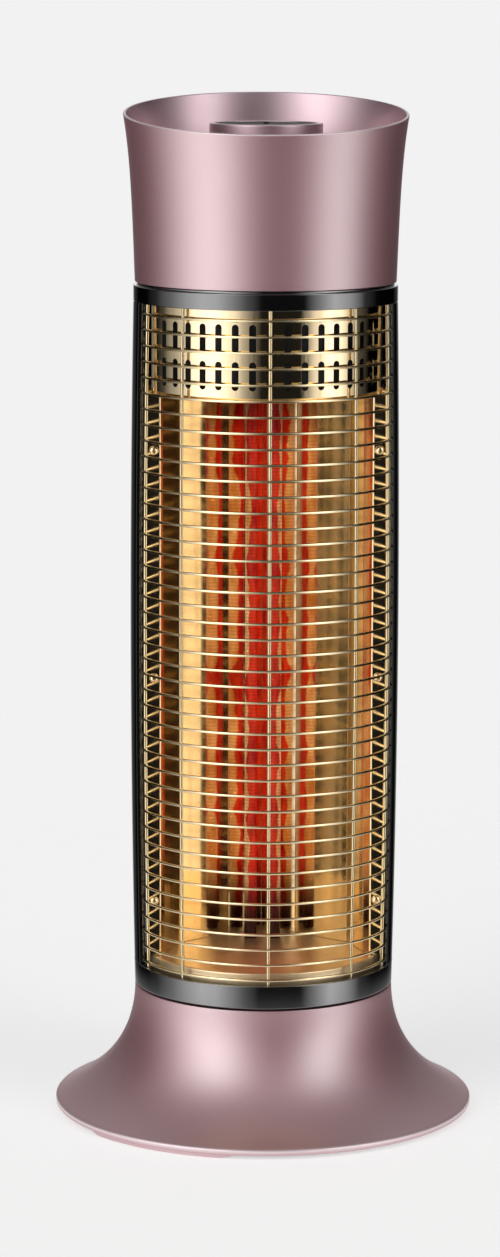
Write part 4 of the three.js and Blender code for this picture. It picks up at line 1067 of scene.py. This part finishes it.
def wire_guard():
    """Level wires welded to the fronts of five upright wires, all grown from named sizes."""
    base = points_object("guard_base", [(0, 0, 0)] * len(UPRIGHT_ANGLES),
                         turn=[math.radians(angle) for angle in UPRIGHT_ANGLES])
    tree = Growth("guard wires")
    mid = tree.named("Barrel radius", TOWER_MID_RADIUS)
    sag = tree.named("Barrel sag", TOWER_SAG)
    mid_height = tree.named("Middle height", TOWER_MID_HEIGHT)
    half_height = tree.named("Half height", TOWER_HALF_HEIGHT)
    inset = tree.named("Inset", GUARD_INSET + WIRE_RADIUS)
    thin = tree.named("Wire radius", WIRE_RADIUS)
    thick = tree.named("Upright radius", UPRIGHT_RADIUS)
    count = tree.named("Wires", WIRE_COUNT, "NodeSocketInt")
    low = tree.named("Lowest wire", LOWER_RING_TOP + BOTTOM_WIRE_RISE)
    rise = UPPER_RING_BOTTOM - TOP_WIRE_DROP - LOWER_RING_TOP - BOTTOM_WIRE_RISE
    pitch = tree.named("Wire pitch", rise / (WIRE_COUNT - 1))
    half = tree.named("Half angle", math.radians(WIRE_HALF_ANGLE))
    foot = tree.named("Upright foot", bottom("wire_guard"))
    head = tree.named("Upright head", top("wire_guard"))

    # Radius of the guard at the height of a point
    height = tree.parts(tree.shape("InputPosition", {}))["Z"]
    share = tree.math("DIVIDE", tree.math("SUBTRACT", height, mid_height), half_height)
    drop = tree.times(tree.times(share, share), sag)
    radius = tree.math("SUBTRACT", tree.math("SUBTRACT", mid, inset), drop)

    begin = tree.math("SUBTRACT", tree.times(half, -1.0), math.pi / 2)
    span = {"Start Angle": begin, "Sweep Angle": tree.times(half, 2.0)}
    bow = tree.shape("CurveArc", {"Resolution": BOW_STEPS, "Radius": 1.0, **span})
    levels = tree.row(count, tree.vector(z=pitch), tree.vector(z=low))
    bows = tree.copies(levels, bow, Scale=tree.vector(radius, radius, 1.0))
    bows = tree.shape("RealizeInstances", {0: bows})
    bows = tree.shape("SetCurveRadius", {0: bows, "Radius": 1.0})
    level_wires = tree.wire(bows, WIRE_SIDES, thin)

    ends = {"Start": tree.vector(z=foot), "End": tree.vector(z=head)}
    line = tree.shape("CurvePrimitiveLine", ends)
    line = tree.shape("ResampleCurve", {"Curve": line, "Count": UPRIGHT_POINTS})
    behind = tree.math("SUBTRACT", radius, thick)
    bowed = tree.vector(y=tree.times(behind, -1.0), z=height)
    line = tree.shape("SetPosition", {0: line, "Position": bowed})
    turn = tree.shape("InputNamedAttribute", {"Name": "turn"}, data_type="FLOAT")
    upright = tree.wire(line, UPRIGHT_SIDES, thick)
    uprights = tree.copies(tree.source.outputs[0], upright, Rotation=tree.vector(z=turn))
    tree.end(tree.join(level_wires, uprights), FINISHES["brass_wire"])
    return fit(tree.run("guard_wires", base), "tower", "brass_wire", "wire_guard")


def screw_head():
    """A domed head, its seat in the XZ plane and its crown towards -Y."""
    work = bmesh.new()
    rings = []
    for level in range(SCREW_LEVELS):
        angle = math.pi / 2 * level / SCREW_LEVELS
        radius = SCREW_HEAD_RADIUS * math.cos(angle)
        crown = -SCREW_HEAD_HEIGHT * math.sin(angle)
        turns = [2 * math.pi * i / SCREW_STEPS for i in range(SCREW_STEPS)]
        corners = [(radius * math.cos(turn), crown, radius * math.sin(turn)) for turn in turns]
        rings.append([work.verts.new(corner) for corner in corners])
    tip = work.verts.new((0, -SCREW_HEAD_HEIGHT, 0))
    add_loops(work, rings, wrap=False)
    work.faces.new(rings[0])
    for i in range(SCREW_STEPS):
        work.faces.new([rings[-1][i], rings[-1][(i + 1) % SCREW_STEPS], tip])
    return mesh_object("screw_head", work)


def flange_screws():
    """Six domed screws on the mirror's flanges; a tree sets one head on each seat."""
    nodes = [f"flange_screw_{i}" for i in range(1, SCREW_COUNT + 1)]
    seats = []
    for node in nodes:
        low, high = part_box(node)
        seats.append(((low.x + high.x) / 2, low.y + SCREW_HEAD_HEIGHT, (low.z + high.z) / 2))
    base = points_object("screw_seats", seats)
    head = screw_head()
    tree = Growth("screw row")
    shape = tree.named("Head", head, "NodeSocketObject")
    size = tree.named("Head scale", 1.0)
    info = tree.shape("ObjectInfo", {0: shape})
    heads = tree.copies(tree.source.outputs[0], info.outputs["Geometry"], Scale=size)
    tree.end(heads, FINISHES["gold_mirror"])
    piece = fit(tree.run("screw_heads", base), "tower", "gold_mirror", *nodes)
    bpy.data.objects.remove(head)
    return piece


def glass_tube(side):
    """A quartz tube with an inner and an outer wall."""
    node = f"glass_tube_{side}"
    low, high, middle = extent(node)
    bore = TUBE_RADIUS - TUBE_WALL
    outline = [(bore, low.z), (TUBE_RADIUS, low.z), (TUBE_RADIUS, high.z), (bore, high.z)]
    work = bmesh.new()
    add_round(work, filleted(outline, TUBE_WALL / 3), upright_at(middle))
    return fit(mesh_object(f"tube_{side}", work), "tower", "quartz_glass", node)


def carbon_strip(side):
    """A twisted strip with a thin lead at each end."""
    node = f"carbon_element_{side}"
    low, high, middle = extent(node)
    sections = []
    for i in range(ELEMENT_STEPS + 1):
        share = i / ELEMENT_STEPS
        turn = -2 * math.pi * ELEMENT_TURNS * share
        across = Vector((math.cos(turn), math.sin(turn))) * ELEMENT_HALF_WIDTH
        through = Vector((-math.sin(turn), math.cos(turn))) * ELEMENT_THICKNESS / 2
        z = ELEMENT_LOW + (ELEMENT_HIGH - ELEMENT_LOW) * share
        corners = [-across - through, across - through, across + through, -across + through]
        sections.append([(middle.x + corner.x, middle.y + corner.y, z) for corner in corners])
    work = bmesh.new()
    add_bar(work, sections)
    ring = []
    for i in range(LEAD_SIDES):
        angle = 2 * math.pi * i / LEAD_SIDES
        ring.append((middle.x + LEAD_RADIUS * math.cos(angle), middle.y + LEAD_RADIUS * math.sin(angle)))
    for start, end in ((low.z, ELEMENT_LOW), (ELEMENT_HIGH, high.z)):
        add_prism(work, ring, start, end)
    return fit(mesh_object(f"strip_{side}", work), "tower", "carbon", node)


# Head and dial
def head_shell():
    """A cup whose round lip lies in a slanted plane, lower at the front."""
    slope = math.tan(RIM_TILT)
    ledge_top = TRAY_BOTTOM - GAP
    rim_centre = HEAD_BOTTOM + RIM_CENTRE_HEIGHT
    chamfer = RING_FILLET * CHAMFER_SHARE

    def section(degrees):
        """The outline at an angle; the rim is found in rounds, because it leans with its own radius."""
        lean = slope * math.cos(math.radians(degrees))
        rim = rim_centre
        for _ in range(RIM_ROUNDS):
            rim = rim_centre - lean * head_radius(rim)
        lip = HEAD_WALL / 2
        shoulder = rim - lip
        low = HEAD_BOTTOM + RING_FILLET
        outside = [
            (HEAD_NECK_RADIUS - RING_FILLET, HEAD_BOTTOM),
            (HEAD_NECK_RADIUS - chamfer, HEAD_BOTTOM + chamfer),
        ]
        inside = []
        for level in range(HEAD_LEVELS + 1):
            z = low + (shoulder - low) * level / HEAD_LEVELS
            outside.append((head_radius(z), z))
            z = shoulder + (ledge_top - shoulder) * level / HEAD_LEVELS
            inside.append((head_radius(z) - HEAD_WALL, z))
        lip_middle = head_radius(shoulder) - lip
        for step in range(1, LIP_STEPS):
            angle = math.pi * step / LIP_STEPS
            outside.append((lip_middle + lip * math.cos(angle), shoulder + lip * math.sin(angle)))
        ledge = head_radius(ledge_top) - HEAD_WALL - TRAY_LEDGE
        ledge_bottom = ledge_top - HEAD_WALL
        return [
            *outside,
            *inside,
            (ledge, ledge_top),
            (ledge, ledge_bottom),
            (head_radius(ledge_bottom) - HEAD_WALL, ledge_bottom),
            (HEAD_NECK_RADIUS - HEAD_WALL, HEAD_BOTTOM),
        ]

    def on_lip(place):
        """Whether a point lies on the rounded lip."""
        return place.z > rim_centre + slope * place.y - HEAD_WALL * LIP_MARK_SHARE

    work = bmesh.new()
    add_turned(work, section)
    # Painted highlight: the rounded lip is marked for a lighter paint colour
    cup = mark_highlight_edge(weighted(mesh_object("head_cup", work)), on_lip)
    fit(cup, "tower", "rose_metal", "head_shell")
    cup.data.materials.append(POLISHED_ROSE)
    for face in cup.data.polygons:
        if face.center.xy.length < head_radius(face.center.z) - HEAD_WALL * INSIDE_SHARE:
            face.material_index = 1
    return cup


def control_tray():
    """Dished floor of the cup with a bore for the dial's shaft."""
    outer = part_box("control_tray")[1].x
    curb = DIAL_RADIUS + TRAY_MARGIN
    outline = filleted([
        (TRAY_BORE, TRAY_BOTTOM), (outer, TRAY_BOTTOM), (outer, TRAY_TOP),
        (curb, TRAY_TOP - TRAY_DISH), (TRAY_BORE, TRAY_TOP - TRAY_DISH),
    ], SOFT_FILLET)
    return fit(turned("cup_floor", outline), "tower", "rose_metal", "control_tray")


def dial():
    """The knob, and the dark disc with a nub that lies in it."""
    inner = DIAL_RADIUS - DIAL_WALL
    rim_inside = DIAL_RADIUS - DIAL_RIM
    seat = DIAL_TOP - INLAY_DROP - INLAY_THICKNESS - GAP
    ceiling = seat - DIAL_WALL
    outline = filleted([
        (0, seat), (rim_inside, seat), (rim_inside, DIAL_TOP), (DIAL_RADIUS, DIAL_TOP),
        (DIAL_RADIUS, DIAL_BOTTOM), (inner, DIAL_BOTTOM), (inner, ceiling),
        (0, ceiling),
    ], DIAL_FILLET)
    fit(turned("knob", outline), "dial", "rose_metal", "dial", finish=POLISHED_ROSE)
    face = DIAL_TOP - INLAY_DROP
    outline = filleted([
        (0, seat + GAP), (rim_inside - GAP, seat + GAP), (rim_inside - GAP, face),
        (POINTER_RADIUS, face), (POINTER_RADIUS, top("dial_inlay")),
        (0, top("dial_inlay")),
    ], SMALL_FILLET)
    fit(turned("knob_disc", outline), "dial", "gloss_black", "dial_inlay", finish=DULL_BLACK)


# Nodes that keep their solids
def dress_solids():
    """Gives the solids that still show a finish of this script."""
    slots = {part["node"]: part["material_slot"] for part in frame["record"]["subparts"]}
    for name, solid in frame["nodes"].items():
        for place in solid.material_slots:
            place.material = FINISHES[slots[name]]


# Studio
def add_camera():
    """The camera of the photograph."""
    data = bpy.data.cameras.new("camera")
    data.sensor_width = SENSOR_HEIGHT
    data.lens = FOCAL_PIXELS / PHOTO_HEIGHT * SENSOR_HEIGHT
    camera = new_object("camera", data)
    tilt = Matrix.Rotation(math.pi / 2 - CAMERA_PITCH, 4, "X")
    roll = Matrix.Rotation(CAMERA_ROLL, 4, "Z")
    place = Matrix.Rotation(CAMERA_TURN, 4, "Z") @ Matrix.Translation(CAMERA_PLACE)
    camera.matrix_world = place @ tilt @ roll
    bpy.context.scene.camera = camera


# Brightness of the studio round the object, by degrees from the camera towards its right
STUDIO_BANDS = (
    (-180, 0.2), (-160, 0.06), (-146, 0.0), (-125, 0.0), (-109, 0.07), (-89, 0.52), (-72, 1.3),
    (-57, 1.9), (-43, 1.78), (-30, 1.03), (-17, 0.33), (-4, 0.012), (34, 0.012), (48, 0.86),
    (62, 1.85), (78, 1.2), (95, 0.1), (112, 0.0), (146, 0.0), (160, 0.06), (180, 0.2),
)
# Above this slope of a direction the bands lean inwards and get stronger, by these shares
LEAN_START = -0.08
LEAN_END = 0.25
LEAN_SHARE = 0.24
GAIN_SHARE = 0.42
# Higher up the bands fade out and the ceiling comes in
BANDS_FADE_START = 0.6
BANDS_FADE_END = 0.95
CEILING_START = 0.35
CEILING_FULL = 0.9
CEILING_LEVEL = 0.25
# The plain backdrop that the camera sees, and how far round from the front glossy rays see it, in turns
BACKDROP = (0.888, 0.888, 0.888, 1)
BEHIND_START = 0.45
BEHIND_FULL = 0.48

# Floor: its disc, where it melts into the backdrop for the camera and for glossy rays, and its tone
FLOOR_RADIUS = 3.0
FLOOR_SIDES = 96
FLOOR_HEIGHT = -0.0002
FLOOR_FADE = (0.5, 1.6)
FLOOR_GLOSS_FADE = (0.2, 0.42)
FLOOR_SPECKLE = 40.0
FLOOR_TONES = (0.58, 0.62)
FLOOR_LIFT = 0.58


def cleared(owner):
    """The empty node tree of a world or material."""
    owner.use_nodes = True
    owner.node_tree.nodes.clear()
    return Nodes(owner.node_tree)


def studio_world():
    """Tall soft lights and a soft ceiling; the camera, glass and gloss that looks back see the backdrop."""
    world = bpy.data.worlds.new("studio")
    bpy.context.scene.world = world
    tree = cleared(world)
    direction = tree.parts(tree.add("TexCoord").outputs["Generated"])
    front = tree.times(direction["Y"], -1.0)
    azimuth = tree.math("SUBTRACT", tree.math("ARCTAN2", direction["X"], front), CAMERA_TURN)
    around = tree.math("FRACT", tree.math("ADD", tree.math("DIVIDE", azimuth, 2 * math.pi), 0.5))
    turns = tree.math("SUBTRACT", around, 0.5)
    upper = tree.ease(direction["Z"], LEAN_START, LEAN_END)
    lean = tree.math("ADD", tree.times(upper, LEAN_SHARE), 1.0)
    gain = tree.math("ADD", tree.times(upper, GAIN_SHARE), 1.0)
    bands = tree.add("ValToRGB", {0: tree.math("ADD", tree.times(turns, lean), 0.5)})
    ramp = bands.color_ramp
    while len(ramp.elements) < len(STUDIO_BANDS):
        ramp.elements.new(0.5)
    for element, (degrees, level) in zip(ramp.elements, STUDIO_BANDS):
        element.position = (degrees + 180) / 360
        element.color = (level, level, level, 1)
    walls = tree.ease(direction["Z"], BANDS_FADE_END, BANDS_FADE_START)
    ceiling = tree.times(tree.ease(direction["Z"], CEILING_START, CEILING_FULL), CEILING_LEVEL)
    light = tree.math("ADD", tree.times(tree.times(bands, gain), walls), ceiling)
    lit = tree.add("Background", {"Color": (1, 1, 1, 1), "Strength": light})
    pale = tree.add("Background", {"Color": BACKDROP, "Strength": 1.0})
    path = tree.add("LightPath").outputs
    behind = tree.ease(tree.math("ABSOLUTE", turns), BEHIND_START, BEHIND_FULL)
    clear = tree.math("MAXIMUM", path["Is Camera Ray"], path["Is Transmission Ray"])
    seen = tree.math("MAXIMUM", clear, tree.times(path["Is Glossy Ray"], behind))
    tree.add("OutputWorld", {0: tree.add("MixShader", {0: seen, 1: lit, 2: pale})})


def add_floor():
    """A pale disc that keeps the object's shadow and melts into the backdrop."""
    work = bmesh.new()
    bmesh.ops.create_circle(work, cap_ends=True, segments=FLOOR_SIDES, radius=FLOOR_RADIUS)
    floor = mesh_object("floor", work)
    for vertex in floor.data.vertices:
        vertex.co.z = FLOOR_HEIGHT
    material = bpy.data.materials.new("pale floor")
    tree = cleared(material)
    place = object_place(tree)
    distance = tree.add("VectorMath", {0: place}, operation="LENGTH").outputs["Value"]
    path = tree.add("LightPath").outputs
    seen_fade = tree.ease(distance, *FLOOR_FADE)
    gloss_fade = tree.ease(distance, *FLOOR_GLOSS_FADE)
    fade = tree.mix(path["Is Glossy Ray"], seen_fade, gloss_fade)
    speckle = tree.add("TexNoise", {"Vector": place, "Scale": FLOOR_SPECKLE}).outputs["Fac"]
    matt = tree.add("BsdfDiffuse", {"Color": tree.spread(speckle, *FLOOR_TONES)})
    shown = tree.math("MAXIMUM", path["Is Camera Ray"], path["Is Glossy Ray"])
    shown = tree.math("MAXIMUM", shown, path["Is Transmission Ray"])
    lift = tree.add("Emission", {"Strength": tree.times(shown, FLOOR_LIFT)})
    lifted = tree.add("AddShader", {0: matt, 1: lift})
    clear = tree.add("BsdfTransparent")
    tree.add("OutputMaterial", {0: tree.add("MixShader", {0: fade, 1: lifted, 2: clear})})
    floor.data.materials.append(material)


add_camera()
base_cover()
cord_gland()
foot_pads()
lower_ring()
floor_pan()
reflector()
terminal_pan()
slotted_collar()
rear_cover()
wire_guard()
flange_screws()
for side in ("left", "right"):
    glass_tube(side)
    carbon_strip(side)
upper_ring()
head_shell()
control_tray()
dial()
dress_solids()
studio_world()
add_floor()

bpy.context.scene.view_settings.view_transform = "Standard"
